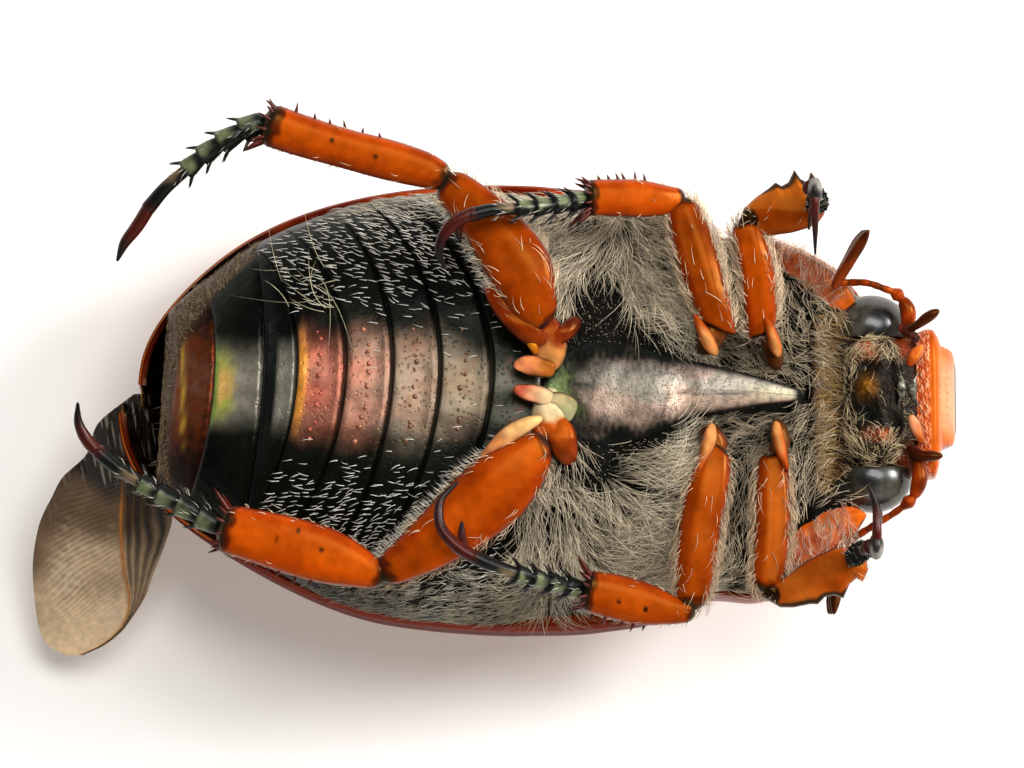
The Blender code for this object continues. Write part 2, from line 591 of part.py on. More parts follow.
LEGS = {
    "hind_right": {
        "coxa": ((1.15, 0.45, 9.2, 0.35, 0.25), (1.1, 1.2, 9.25, 0.55, 0.35), (1.0, 1.75, 9.3, 0.5, 0.38)),
        "femur": (
            (0.95, 2.05, 9.2, 0.42, 0.4), (0.62, 2.64, 9.3, 0.8, 0.5), (0.24, 3.48, 9.3, 0.96, 0.52),
            (-0.21, 4.17, 9.15, 0.93, 0.5), (-0.72, 4.86, 8.95, 0.82, 0.46), (-1.3, 5.45, 8.75, 0.68, 0.42),
            (-1.9, 5.98, 8.55, 0.5, 0.36),
        ),
        "tibia": (
            (-2.1, 6.2, 8.5, 0.36, 0.34), (-2.5, 6.38, 8.45, 0.52, 0.4), (-3.36, 6.63, 8.35, 0.6, 0.44),
            (-5.16, 7.11, 8.15, 0.6, 0.46), (-6.36, 7.47, 8.0, 0.63, 0.48), (-7.4, 7.83, 7.9, 0.66, 0.5),
        ),
        "tarsus": (
            (-7.7, 7.8, 7.9, 0.42, 0.42), (-8.4, 7.44, 7.8, 0.4, 0.38), (-9.12, 6.99, 7.6, 0.36, 0.34),
            (-9.78, 6.45, 7.4, 0.32, 0.32), (-10.41, 5.91, 7.2, 0.28, 0.28), (-10.95, 5.28, 7.0, 0.27, 0.27),
        ),
        "claw": ((-11.05, 5.12, 6.95, 0.26, 0.26), (-11.3, 4.72, 6.85, 0.25, 0.25),
                 (-11.66, 4.25, 6.7, 0.2, 0.2), (-11.9, 3.69, 6.5, 0.05, 0.05)),
        "second": ((-11.2, 4.9, 6.7, 0.22, 0.22), (-11.45, 4.6, 6.3, 0.18, 0.18),
                   (-11.6, 4.2, 5.95, 0.05, 0.05)),
    },
    "hind_left": {
        "coxa": ((1.15, -0.2, 9.25, 0.35, 0.25), (1.1, -0.95, 9.3, 0.55, 0.35), (1.0, -1.6, 9.35, 0.5, 0.38)),
        "femur": (
            (0.86, -1.9, 9.4, 0.42, 0.4), (0.3, -2.5, 9.42, 0.85, 0.5), (-0.4, -3.1, 9.42, 1.07, 0.52),
            (-1.11, -3.72, 9.3, 1.05, 0.52), (-1.8, -4.29, 9.3, 0.95, 0.5), (-2.52, -4.83, 9.25, 0.8, 0.46),
            (-3.21, -5.28, 9.2, 0.62, 0.42), (-3.8, -5.62, 9.15, 0.45, 0.36),
        ),
        "tibia": (
            (-4.05, -5.75, 9.1, 0.34, 0.34), (-4.6, -5.5, 9.1, 0.62, 0.42), (-5.46, -5.19, 9.0, 0.82, 0.46),
            (-6.36, -4.92, 8.9, 0.86, 0.48), (-7.56, -4.59, 8.7, 0.8, 0.5), (-8.7, -4.3, 8.5, 0.72, 0.5),
        ),
        "tarsus": (
            (-9.0, -4.15, 8.4, 0.42, 0.42), (-9.81, -3.69, 8.2, 0.4, 0.38), (-10.56, -3.3, 8.0, 0.36, 0.36),
            (-11.31, -2.85, 7.8, 0.33, 0.33), (-12.0, -2.4, 7.6, 0.3, 0.3), (-12.42, -2.04, 7.5, 0.28, 0.28),
        ),
        "claw": ((-12.53, -1.93, 7.48, 0.26, 0.26), (-12.8, -1.65, 7.5, 0.24, 0.24),
                 (-13.02, -1.2, 7.6, 0.18, 0.18), (-13.05, -0.54, 7.8, 0.05, 0.05)),
        "second": ((-12.7, -1.75, 7.3, 0.22, 0.22), (-12.95, -1.5, 6.95, 0.18, 0.18),
                   (-13.0, -1.1, 6.6, 0.05, 0.05)),
    },
    "middle_right": {
        "coxa": ((5.7, 1.0, 8.95, 0.3, 0.25), (5.9, 1.3, 8.9, 0.42, 0.33), (6.08, 1.65, 8.85, 0.4, 0.33)),
        "femur": (
            (6.15, 1.85, 8.75, 0.42, 0.38), (6.0, 2.35, 8.8, 0.55, 0.44), (5.76, 3.12, 8.75, 0.62, 0.46),
            (5.46, 4.17, 8.6, 0.63, 0.46), (5.2, 5.0, 8.45, 0.52, 0.42), (5.1, 5.3, 8.4, 0.42, 0.38),
        ),
        "tibia": (
            (4.9, 5.55, 8.4, 0.28, 0.28), (4.55, 5.52, 8.5, 0.46, 0.4), (3.84, 5.56, 8.7, 0.56, 0.42),
            (3.0, 5.58, 8.95, 0.56, 0.44), (2.28, 5.58, 9.15, 0.54, 0.45),
        ),
        "tarsus": (
            (2.0, 5.5, 9.3, 0.34, 0.34), (1.14, 5.34, 9.9, 0.32, 0.32), (0.24, 5.25, 10.2, 0.3, 0.3),
            (-0.66, 5.19, 10.3, 0.27, 0.27), (-1.2, 5.05, 10.3, 0.27, 0.27),
        ),
        "claw": ((-1.35, 5.0, 10.3, 0.26, 0.26), (-1.75, 4.8, 10.28, 0.25, 0.25),
                 (-2.1, 4.35, 10.2, 0.2, 0.2),
                 (-2.18, 3.9, 10.05, 0.15, 0.15), (-2.0, 3.45, 9.9, 0.05, 0.05)),
        "second": ((-1.5, 4.95, 10.2, 0.2, 0.2), (-1.6, 4.65, 9.95, 0.17, 0.17),
                   (-1.55, 4.2, 9.8, 0.05, 0.05)),
    },
    "middle_left": {
        "coxa": ((5.75, -1.3, 9.0, 0.3, 0.25), (5.95, -1.6, 9.0, 0.42, 0.33), (6.08, -1.9, 9.0, 0.4, 0.33)),
        "femur": (
            (6.12, -2.1, 8.85, 0.42, 0.38), (6.03, -2.5, 8.95, 0.56, 0.44), (5.85, -3.18, 9.05, 0.63, 0.46),
            (5.64, -4.23, 9.1, 0.62, 0.46), (5.52, -5.28, 9.15, 0.62, 0.46), (5.42, -6.15, 9.15, 0.52, 0.42),
            (5.38, -6.5, 9.15, 0.42, 0.36),
        ),
        "tibia": (
            (5.2, -6.82, 9.15, 0.27, 0.27), (4.75, -6.76, 9.15, 0.46, 0.38), (3.84, -6.57, 9.2, 0.66, 0.44),
            (3.0, -6.36, 9.3, 0.68, 0.46), (2.2, -6.18, 9.4, 0.6, 0.46),
        ),
        "tarsus": (
            (1.88, -6.1, 9.5, 0.34, 0.34), (0.84, -5.85, 10.1, 0.33, 0.33), (-0.12, -5.58, 10.5, 0.3, 0.3),
            (-0.7, -5.36, 10.6, 0.28, 0.28), (-1.1, -5.17, 10.6, 0.27, 0.27),
        ),
        "claw": ((-1.24, -5.09, 10.6, 0.26, 0.26), (-1.7, -4.8, 10.6, 0.24, 0.24),
                 (-2.15, -4.2, 10.5, 0.2, 0.2),
                 (-2.15, -3.55, 10.4, 0.16, 0.16), (-1.6, -2.9, 10.3, 0.05, 0.05)),
        "second": ((-1.4, -4.95, 10.5, 0.2, 0.2), (-1.5, -4.6, 10.3, 0.18, 0.18),
                   (-1.5, -4.1, 10.2, 0.05, 0.05)),
    },
    "front_right": {
        "coxa": ((7.95, 0.5, 7.95, 0.25, 0.25), (7.85, 0.95, 8.0, 0.3, 0.3), (7.75, 1.45, 8.05, 0.3, 0.3)),
        "femur": (
            (7.5, 1.75, 8.05, 0.4, 0.36), (7.47, 2.2, 8.1, 0.5, 0.42), (7.42, 3.0, 8.15, 0.52, 0.44),
            (7.28, 3.8, 8.2, 0.52, 0.44), (7.12, 4.4, 8.2, 0.48, 0.42), (7.05, 4.66, 8.2, 0.44, 0.4),
        ),
        "tibia": (
            (7.05, 4.92, 8.2, 0.28, 0.28), (7.4, 5.1, 8.3, 0.55, 0.36), (8.04, 5.25, 8.5, 0.74, 0.36),
            (8.64, 5.37, 8.7, 0.72, 0.36), (9.05, 5.44, 8.85, 0.6, 0.36),
        ),
        "tarsus": (
            (9.2, 5.36, 9.2, 0.3, 0.3), (9.32, 5.42, 10.0, 0.32, 0.32), (9.25, 5.6, 10.9, 0.3, 0.3),
            (9.1, 5.8, 11.7, 0.28, 0.28), (9.03, 5.85, 12.0, 0.28, 0.28),
        ),
        "claw": ((9.02, 5.8, 12.12, 0.26, 0.26), (9.02, 5.45, 12.25, 0.24, 0.24),
                 (9.03, 4.8, 12.1, 0.17, 0.17), (9.04, 3.85, 11.6, 0.05, 0.05)),
        "second": ((9.0, 5.3, 12.15, 0.2, 0.2), (8.9, 5.0, 11.8, 0.16, 0.16), (8.85, 4.6, 11.35, 0.05, 0.05)),
    },
    "front_left": {
        "coxa": ((7.95, -1.15, 7.95, 0.25, 0.25), (8.05, -1.6, 8.05, 0.3, 0.3), (7.98, -2.1, 8.15, 0.3, 0.3)),
        "femur": (
            (7.82, -2.4, 8.25, 0.4, 0.36), (7.81, -2.9, 8.35, 0.5, 0.42), (7.83, -3.78, 8.5, 0.54, 0.44),
            (7.78, -4.8, 8.65, 0.54, 0.44), (7.7, -5.6, 8.75, 0.5, 0.42), (7.64, -6.0, 8.8, 0.44, 0.4),
        ),
        "tibia": (
            (7.7, -6.33, 8.85, 0.28, 0.28), (8.19, -6.15, 8.95, 0.54, 0.36), (8.88, -5.88, 9.1, 0.7, 0.36),
            (9.6, -5.61, 9.3, 0.7, 0.36), (10.25, -5.36, 9.45, 0.56, 0.36),
        ),
        "tarsus": (
            (10.4, -5.2, 9.85, 0.3, 0.3), (10.5, -5.05, 10.5, 0.32, 0.32), (10.65, -4.95, 11.4, 0.3, 0.3),
            (10.8, -4.86, 12.1, 0.28, 0.28), (10.82, -4.84, 12.4, 0.28, 0.28),
        ),
        "claw": ((10.84, -4.78, 12.5, 0.26, 0.26), (10.86, -4.4, 12.65, 0.24, 0.24),
                 (10.82, -3.7, 12.5, 0.17, 0.17), (10.6, -3.0, 12.1, 0.05, 0.05)),
        "second": ((10.86, -4.3, 12.5, 0.2, 0.2), (10.95, -3.95, 12.1, 0.16, 0.16),
                   (10.95, -3.55, 11.7, 0.05, 0.05)),
    },
}

# Teeth on the outer edge of the front tibiae: the tip, and the root's half width
TEETH = {
    "front_right": ((7.9, 6.12, 8.5), (8.46, 6.42, 8.65), (8.97, 6.4, 8.8)),
    "front_left": ((9.15, -6.68, 9.15), (10.0, -6.5, 9.3), (10.65, -5.98, 9.45)),
}


def point_on(stations, part):
    """The place, half width and half thickness at a part (0 to 1) of a limb's length."""
    spot = part * (len(stations) - 1)
    i = min(int(spot), len(stations) - 2)
    t = spot - i
    values = [mix(a, b, t) for a, b in zip(stations[i], stations[i + 1])]
    ahead = (Vector(stations[i + 1][:3]) - Vector(stations[i][:3])).normalized()
    return Vector(values[:3]), values[3], values[4], ahead


def side_spine(stations, part, turn, length, radius, backward, rise=0.86):
    """A spine that leaves a limb's surface at an angle of turn round its axis, leaning outwards."""
    spot, wide, thick, ahead = point_on(stations, part)
    across = Vector((0, 0, 1)).cross(ahead).normalized()
    over = ahead.cross(across).normalized()
    out = across * math.cos(turn) * wide + over * math.sin(turn) * thick
    root = spot + out * rise
    return spine(root, out.normalized() + ahead * backward, length, radius)


def leg_piece(leg, part, kind, before, after, spines=()):
    """One node of a leg, cut where it meets the pieces before and after it."""
    stations = LEGS[leg][part]
    bm = limb(stations, start=0.5, end=0.7)
    piece = new_object(f"{part}_{leg}", place(bm), kind)
    if spines:
        fuse(piece, spines)
    point, normal = joint_plane(before, stations)
    trim(piece, point + normal * GAP / 2, -normal)
    point, normal = joint_plane(stations, after)
    trim(piece, point - normal * GAP / 2, normal)
    return piece


def coxa(leg, parts):
    """The first joint of a leg, lying on the body with its underside cut clear of it."""
    low = 0.15 if leg.startswith("middle") else 0.35
    stations = [(x, y, z - low, wide, thick + low) for x, y, z, wide, thick in parts["coxa"]]
    bm = limb(stations, end=0.7)
    point, normal = joint_plane(parts["coxa"], parts["femur"])
    cut(bm, point - normal * GAP / 2, normal)
    carrier = bpy.data.objects["prosternum" if leg.startswith("front") else "metathorax"]
    middle = (Vector(stations[1][:3]) - CENTRE) * MM
    met, spot, up, _ = carrier.ray_cast(middle + Vector((0, 0, 0.01)), Vector((0, 0, -1)))
    cut(bm, spot / MM + CENTRE + up * COXA_GAP, -up)
    return new_object(f"coxa_{leg}", place(bm), "orange")


def tibia_spines(leg, stations):
    side = 1 if leg.endswith("right") else -1
    outer = math.pi / 2 * 0.15
    made = []
    if leg in TEETH:
        spots = [point_on(stations, k / 12)[0] for k in range(13)]
        for tip in TEETH[leg]:
            tip = Vector(tip)
            way = tip - min(spots, key=lambda s: (s - tip).length)
            made.append(spine(tip - way * 0.55, way, way.length * 0.55, 0.3))
        return made
    turn = -outer if side < 0 else math.pi + outer
    hind = leg.startswith("hind")
    places = (0.35, 0.62, 0.98) if hind else (0.3, 0.55, 0.75, 0.98)
    for place_at in places:
        made.append(side_spine(stations, place_at, turn, 0.42, 0.16, 0.15))
    for k in range(4):
        made.append(side_spine(stations, 0.98, turn + (k - 1.5) * 0.7 + math.pi * 0.5, 0.38, 0.15, 0.3))
    made.append(side_spine(stations, 0.93, turn + math.pi, 0.75, 0.17, 0.55, 0.95))
    return made


def tarsus_spines(leg, stations):
    side = 1 if leg.endswith("right") else -1
    made = []
    for k in (1, 2) if leg in TEETH else range(4):
        for turn in (0.35, math.pi - 0.35):
            made.append(side_spine(stations, 0.27 + 0.17 * k, turn * side, 0.34, 0.13, 0.9))
    return made


def legs():
    for leg, parts in LEGS.items():
        coxa(leg, parts)
        leg_piece(leg, "femur", "orange", before=parts["coxa"], after=parts["tibia"])
        leg_piece(leg, "tibia", "orange", before=parts["femur"], after=parts["tarsus"],
                  spines=tibia_spines(leg, parts["tibia"]))
        leg_piece(leg, "tarsus", "dark", before=parts["tibia"], after=parts["claw"],
                  spines=tarsus_spines(leg, parts["tarsus"]))
        claws(leg, parts)


def claws(leg, parts):
    """Two unequal claws on one root."""
    bm = limb(parts["claw"], sides=8, start=0.6, pointed=True)
    piece = new_object(f"claws_{leg}", place(bm), "dark")
    fuse(piece, [limb(parts["second"], sides=6, pointed=True)])
    point, normal = joint_plane(parts["tarsus"], parts["claw"])
    trim(piece, point + normal * GAP / 2, -normal)


# Feelers and mouthparts

ANTENNAE = {
    "right": {
        "stalk": (
            (11.95, 1.85, 6.3, 0.27, 0.27), (12.0, 2.3, 6.3, 0.3, 0.3), (11.7, 2.72, 6.3, 0.27, 0.27),
            (11.3, 2.85, 6.45, 0.25, 0.25), (10.71, 3.05, 6.45, 0.25, 0.25), (10.2, 3.06, 6.3, 0.25, 0.25),
            (9.95, 3.06, 6.3, 0.25, 0.25),
        ),
        "club": ((9.72, 2.95, 6.3), (10.68, 4.65, 6.6)),
    },
    "left": {
        "stalk": (
            (12.42, -2.85, 6.7, 0.25, 0.25), (12.5, -3.25, 6.7, 0.28, 0.28), (12.25, -3.7, 6.6, 0.26, 0.26),
            (11.75, -3.98, 6.55, 0.25, 0.25), (11.07, -4.3, 6.5, 0.25, 0.25), (10.6, -4.5, 6.35, 0.25, 0.25),
            (10.2, -4.72, 6.2, 0.25, 0.25),
        ),
        "club": ((9.95, -4.75, 6.2), (9.62, -6.95, 6.3)),
    },
}


def antenna(side):
    """A bent stalk, and a club of three long leaves that lie together."""
    parts = ANTENNAE[side]
    root, tip = (Vector(p) for p in parts["club"])
    way = (tip - root).normalized()
    stalk_end = Vector(parts["stalk"][-1][:3])
    normal = (direction(parts["stalk"], 1) + way).normalized()
    leaves = []
    for k, spread in enumerate((-1, 0, 1)):
        end = tip + Vector((0, 0, 1)) * spread * 0.34
        middle = root.lerp(end, 0.5)
        stations = [(*root, 0.2, 0.24), (*root.lerp(end, 0.2), 0.3, 0.22), (*middle, 0.27, 0.17),
                    (*root.lerp(end, 0.85), 0.24, 0.15), (*end, 0.12, 0.1)]
        leaf = limb(stations, sides=8)
        leaves.append(cut(leaf, stalk_end + normal * (GAP + 0.02), -normal))
    stalk = limb(parts["stalk"], sides=8, end=0.3)
    new_object(f"antenna_{side}", place(cut(stalk, stalk_end, normal)), "orange")
    knob = limb([(*(root - way * 0.2), 0.22, 0.3), (*(root + way * 0.45), 0.32, 0.4)], sides=8)
    cut(knob, stalk_end + normal * GAP, -normal)
    club = new_object(f"antenna_club_{side}", place(knob), "dark")
    fuse(club, leaves)


PALPS = {
    "right": ((12.4, 1.25, 6.75, 0.2, 0.2), (12.55, 1.6, 6.9, 0.25, 0.25), (12.75, 2.1, 7.0, 0.2, 0.2)),
    "left": ((12.3, -2.2, 6.75, 0.2, 0.2), (12.6, -2.15, 6.85, 0.25, 0.25), (12.9, -2.1, 6.9, 0.2, 0.2)),
}


def palp(side):
    return new_object(f"palp_{side}", place(limb(PALPS[side], sides=8)), "dark")


MENTUM = (0.9, 1.75, 0.7)      # half length, half width and height of the plate between the eyes
MENTUM_AT = Vector((1.5, 0, max(station[3] for station in SKULL) + GAP))


def mouthparts():
    """The raised, hairy plate between the eyes."""
    bm = bmesh.new()
    bmesh.ops.create_uvsphere(bm, u_segments=16, v_segments=8, radius=1)
    bmesh.ops.scale(bm, verts=bm.verts[:], vec=MENTUM)
    bmesh.ops.translate(bm, verts=bm.verts[:], vec=MENTUM_AT)
    cut(bm, MENTUM_AT, Vector((0, 0, -1)))
    return new_object("mouthparts", place(turned(bm, HEAD)), "dark")


# The folded hindwing that hangs out past the left wing case

# y, height and x of the outer edge, main vein, fold and inner edge of each row, root to tip
WING_ROWS = (
    (-1.3, 3.2, -13.0, -12.6, -12.4, -12.3),
    (-2.3, 3.1, -13.3, -12.6, -12.35, -12.2),
    (-2.85, 2.9, -13.7, -12.35, -12.1, -11.95),
    (-3.6, 2.65, -14.0, -11.9, -11.5, -11.3),
    (-4.5, 2.4, -14.45, -11.9, -11.05, -10.5),
    (-5.4, 2.1, -14.6, -11.85, -11.15, -10.65),
    (-6.2, 1.8, -14.58, -11.7, -11.3, -11.0),
    (-7.1, 1.55, -14.55, -11.65, -11.5, -11.42),
    (-7.9, 1.35, -14.4, -12.15, -12.05, -12.0),
    (-8.3, 1.25, -14.05, -12.75, -12.7, -12.65),
)
WING_THICK = 0.5
VEIN = 0.16


def hindwing():
    """A membrane with its main veins raised as ridges, split alike on both faces."""
    bm = bmesh.new()
    tops, lows = [], []
    for y, z, outer, vein, fold, inner in WING_ROWS:
        marks = [mix(outer, vein, k / 6) for k in range(6)]
        step = min(0.14, abs(vein - fold) * 0.3)
        marks += [vein - step, vein, vein + step, mix(vein, fold, 0.7), fold, mix(fold, inner, 0.5), inner]
        lift = [0.0] * 6 + [0.0, VEIN, 0.0, 0.0, VEIN, 0.0, 0.05]
        row_top, row_low = [], []
        for k, (x, up) in enumerate(zip(marks, lift)):
            sag = -0.035 * (x - vein) ** 2
            ripple = 0.05 if k in (2, 4) else 0.0
            row_top.append(bm.verts.new((x, y, z + sag + up + ripple + WING_THICK / 2)))
            row_low.append(bm.verts.new((x, y, z + sag - WING_THICK / 2)))
        tops.append(row_top)
        lows.append(row_low)
    rows, columns = len(tops), len(tops[0])
    for r in range(rows - 1):
        for c in range(columns - 1):
            for grid, flip in ((tops, False), (lows, True)):
                a, b, d, e = grid[r][c], grid[r][c + 1], grid[r + 1][c + 1], grid[r + 1][c]
                for face in ((a, b, d), (a, d, e)):
                    bm.faces.new(face[::-1] if flip else face)
    border = [(r, 0) for r in range(rows)] + [(rows - 1, c) for c in range(1, columns)]
    border += [(r, columns - 1) for r in range(rows - 2, -1, -1)]
    border += [(0, c) for c in range(columns - 2, 0, -1)]
    for (r0, c0), (r1, c1) in zip(border, border[1:] + border[:1]):
        bm.faces.new((tops[r0][c0], tops[r1][c1], lows[r1][c1]))
        bm.faces.new((tops[r0][c0], lows[r1][c1], lows[r0][c0]))
    return new_object("hindwing_left", place(bm), "wing")


for old in list(bpy.data.objects):
    bpy.data.objects.remove(old)
PARTS = bpy.data.collections.new("washerwoman christmas beetle")
bpy.context.scene.collection.children.link(PARTS)

elytron("elytron_right", 1)
elytron("elytron_left", -1)
scutellum()
pronotum()
abdomen()
pygidium()
metathorax()
prosternum()
head()
clypeus()
eye("eye_right", 1)
eye("eye_left", -1)
mouthparts()
legs()
for side_name in ("right", "left"):
    antenna(side_name)
    palp(side_name)
hindwing()
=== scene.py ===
# The looks of a washerwoman christmas beetle that lies on its back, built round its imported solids.
# Shapes are worked out in millimetres in the photo's own frame: +X headward, +Y towards the animal's
# right side and +Z up, the way its belly faces. metres() turns them into the frame's metres.
# Colours are written as they look on a screen, from 0 to 255, and become linear in colour().

import math

import bpy
import numpy as np
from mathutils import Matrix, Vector


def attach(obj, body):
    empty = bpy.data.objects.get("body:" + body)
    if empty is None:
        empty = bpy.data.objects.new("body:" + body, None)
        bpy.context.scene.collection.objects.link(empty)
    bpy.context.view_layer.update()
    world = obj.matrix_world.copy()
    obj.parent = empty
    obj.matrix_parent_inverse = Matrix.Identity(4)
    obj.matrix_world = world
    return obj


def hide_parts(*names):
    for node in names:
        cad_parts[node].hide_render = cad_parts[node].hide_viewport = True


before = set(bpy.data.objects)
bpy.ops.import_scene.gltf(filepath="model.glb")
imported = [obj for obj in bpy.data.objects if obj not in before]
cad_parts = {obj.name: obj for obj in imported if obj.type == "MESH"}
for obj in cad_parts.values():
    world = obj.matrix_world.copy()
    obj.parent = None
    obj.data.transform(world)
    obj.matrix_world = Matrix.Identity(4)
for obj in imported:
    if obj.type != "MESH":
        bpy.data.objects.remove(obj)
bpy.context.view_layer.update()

MM = 0.001
CENTRE = np.array((-0.6, 0.21, 0.0))  # what the solids are moved by, as in the part's source
RNG = np.random.default_rng(7)


# Numbers, curves and turns

def unit(v):
    """v, one vector or many, at length 1."""
    return v / np.maximum(np.linalg.norm(v, axis=-1, keepdims=True), 1e-9)


def mix(a, b, t):
    """a where t is 0, b where it is 1, and straight on between."""
    return a + (b - a) * t


def fade(a, b, x):
    """0 where x is at a, 1 where it is at b, smooth between."""
    t = np.clip((x - a) / (b - a), 0, 1)
    return t * t * (3 - 2 * t)


def along(table, x):
    """A smooth curve through a short table of (place, value or values) that runs upwards."""
    places = np.array([row[0] for row in table], float)
    values = np.array([row[1] for row in table], float)
    slopes = np.gradient(values, places, axis=0)
    x = np.clip(np.asarray(x, float), places[0], places[-1])
    i = np.clip(np.searchsorted(places, x, side="right") - 1, 0, len(places) - 2)
    h = places[i + 1] - places[i]
    t = (x - places[i]) / h
    if values.ndim > 1:
        t, h = t[..., None], h[..., None]
    start = (2 * t ** 3 - 3 * t ** 2 + 1) * values[i] + (t ** 3 - 2 * t ** 2 + t) * h * slopes[i]
    end = (3 * t ** 2 - 2 * t ** 3) * values[i + 1] + (t ** 3 - t ** 2) * h * slopes[i + 1]
    return start + end


def arch(t, power):
    """The height of a rounded arch, 1 in its middle and 0 where t is -1 or 1."""
    return np.maximum(0, 1 - np.abs(t) ** power) ** (1 / power)


RIPPLE_WAVES = 9
RIPPLE_HEIGHT = 3.6          # the sum of the waves that counts as 1


def ripple(points, size, seed=0):
    """Smooth pseudo-random values from -1 to 1 over points, with lumps about size across."""
    rng = np.random.default_rng(seed)
    total = 0
    for _ in range(RIPPLE_WAVES):
        way = rng.normal(size=3)
        way = way / np.linalg.norm(way) * rng.uniform(0.6, 1.5) * math.pi / size
        total = total + np.sin(points @ way + rng.uniform(0, 6.3))
    return np.clip(total / RIPPLE_HEIGHT, -1, 1)


def colour(red, green, blue):
    """The linear colour of a screen colour."""
    c = np.array((red, green, blue)) / 255
    return np.where(c < 0.04045, c / 12.92, ((c + 0.055) / 1.055) ** 2.4)


def blend(base, other, amount):
    """Colours of points: base and other are one colour or one for each point."""
    amount = np.asarray(amount)[..., None]
    return base * (1 - amount) + other * amount


def turn_matrix(axis, degrees):
    """A turn about the axis X or Z."""
    c, s = math.cos(math.radians(degrees)), math.sin(math.radians(degrees))
    if axis == "X":
        return np.array(((1, 0, 0), (0, c, -s), (0, s, c)))
    return np.array(((c, -s, 0), (s, c, 0), (0, 0, 1)))


# The body's outlines, the same as in the part's source

SINK = 0.15
AXIS = np.array((-1.8, -0.57, 5.3))
BODY_TURN = turn_matrix("Z", -2.4) @ turn_matrix("X", -10)
HEAD_TURN = turn_matrix("Z", 0.6) @ turn_matrix("X", -6)
HEAD_AXIS = np.array((9.5, -0.66, 5.2))

WIDEST = 0.5
RIM_WIDTH = 6.68
REAR = 11.4
REAR_POWER = 2.25
BULGE = 0.35                 # how far the back bulges out below its rim
BULGE_RATE = 1.6             # 1 divided by the part of the turn from rim to keel that it takes up
BACK_POWER = 0.86
BELLY_REAR = 10.6
BELLY_POWER = 2.6
BELLY_TOP = 8.65
KEEL_POWER = 2.3
LEFT_STRETCH = 1.055
LEFT_OPEN = 0.7
HINGE = 2.0
SHOULDER = 5.35
NECK = 9.35
FRONT_WIDTH = (
    (WIDEST, RIM_WIDTH), (3.0, 6.5), (5.35, 5.85), (5.75, 5.6), (7.7, 5.45), (8.7, 5.15), (9.6, 4.65),
    (10.4, 3.85),
)
RIM_HEIGHT = ((-12.0, 4.1), (-8.0, 4.9), (-3.0, 5.3), (3.0, 5.3), (7.0, 5.0), (10.5, 4.8))
KEEL_FRONT = ((WIDEST, 0.0), (3.0, 0.25), (5.5, 0.95), (8.0, 1.9), (10.4, 3.0))
BELLY_FRONT = ((WIDEST, BELLY_TOP), (3.0, 8.9), (5.45, 8.4), (5.75, 7.8), (6.4, 7.5), (9.4, 7.1))


def rim_width(x, inset=0.0):
    """Half the width of the body's rim at x."""
    tail = (RIM_WIDTH - inset) * arch(np.clip((WIDEST - x) / (REAR - inset), 0, 1), REAR_POWER)
    return np.where(x < WIDEST, tail, along(FRONT_WIDTH, x) - inset)


def rim_height(x):
    """The height of the body's rim at x."""
    return along(RIM_HEIGHT, x)


def inner_depth(x, inset):
    """How far the back reaches below its rim."""
    part = arch(np.clip((WIDEST - x) / (REAR - inset), 0, 1), KEEL_POWER)
    tail = (rim_height(WIDEST) - inset) * part * rim_height(x) / rim_height(WIDEST)
    return np.where(x < WIDEST, tail, rim_height(x) - along(KEEL_FRONT, x) - inset)


def belly_height(x):
    """The height of the belly's highest line at x."""
    rise = BELLY_TOP - rim_height(WIDEST)
    tail = rim_height(x) + rise * arch(np.clip((WIDEST - x) / BELLY_REAR, 0, 1), BELLY_POWER)
    return np.where(x < WIDEST, tail, along(BELLY_FRONT, x))


def shell_point(x, turn):
    """Points on the right half of the back, from the rim (turn 0) to the keel (turn 1)."""
    angle = turn * math.pi / 2
    width = rim_width(x)
    bulge = BULGE * width / RIM_WIDTH * np.sin(math.pi * np.minimum(1, turn * BULGE_RATE))
    y = width * np.cos(angle) ** BACK_POWER + np.where(turn < 1 / BULGE_RATE, bulge, 0)
    z = rim_height(x) - inner_depth(x, 0.0) * np.sin(angle) ** BACK_POWER
    return np.stack((x, y, z), -1)


def turned(points):
    """Points of the body, tilted as it lies."""
    return (points - (AXIS[0], 0, AXIS[2])) @ BODY_TURN.T + AXIS - (0, 0, SINK)


def head_turned(points):
    """Points of the head's own frame, put on the body."""
    return (points - (0, 0, HEAD_AXIS[2])) @ HEAD_TURN.T + HEAD_AXIS


# Making meshes

def metres(points):
    """Points in the frame's metres."""
    return (np.asarray(points, float) - CENTRE) * MM


def grid_faces(rows, columns, closed=False):
    """Quads between the rows of a grid of points; closed joins the last column to the first."""
    index = np.arange(rows * columns).reshape(rows, columns)
    ahead = np.roll(index, -1, 1) if closed else index[:, 1:]
    here = index if closed else index[:, :-1]
    return np.stack((here[:-1], ahead[:-1], ahead[1:], here[1:]), -1).reshape(-1, 4)


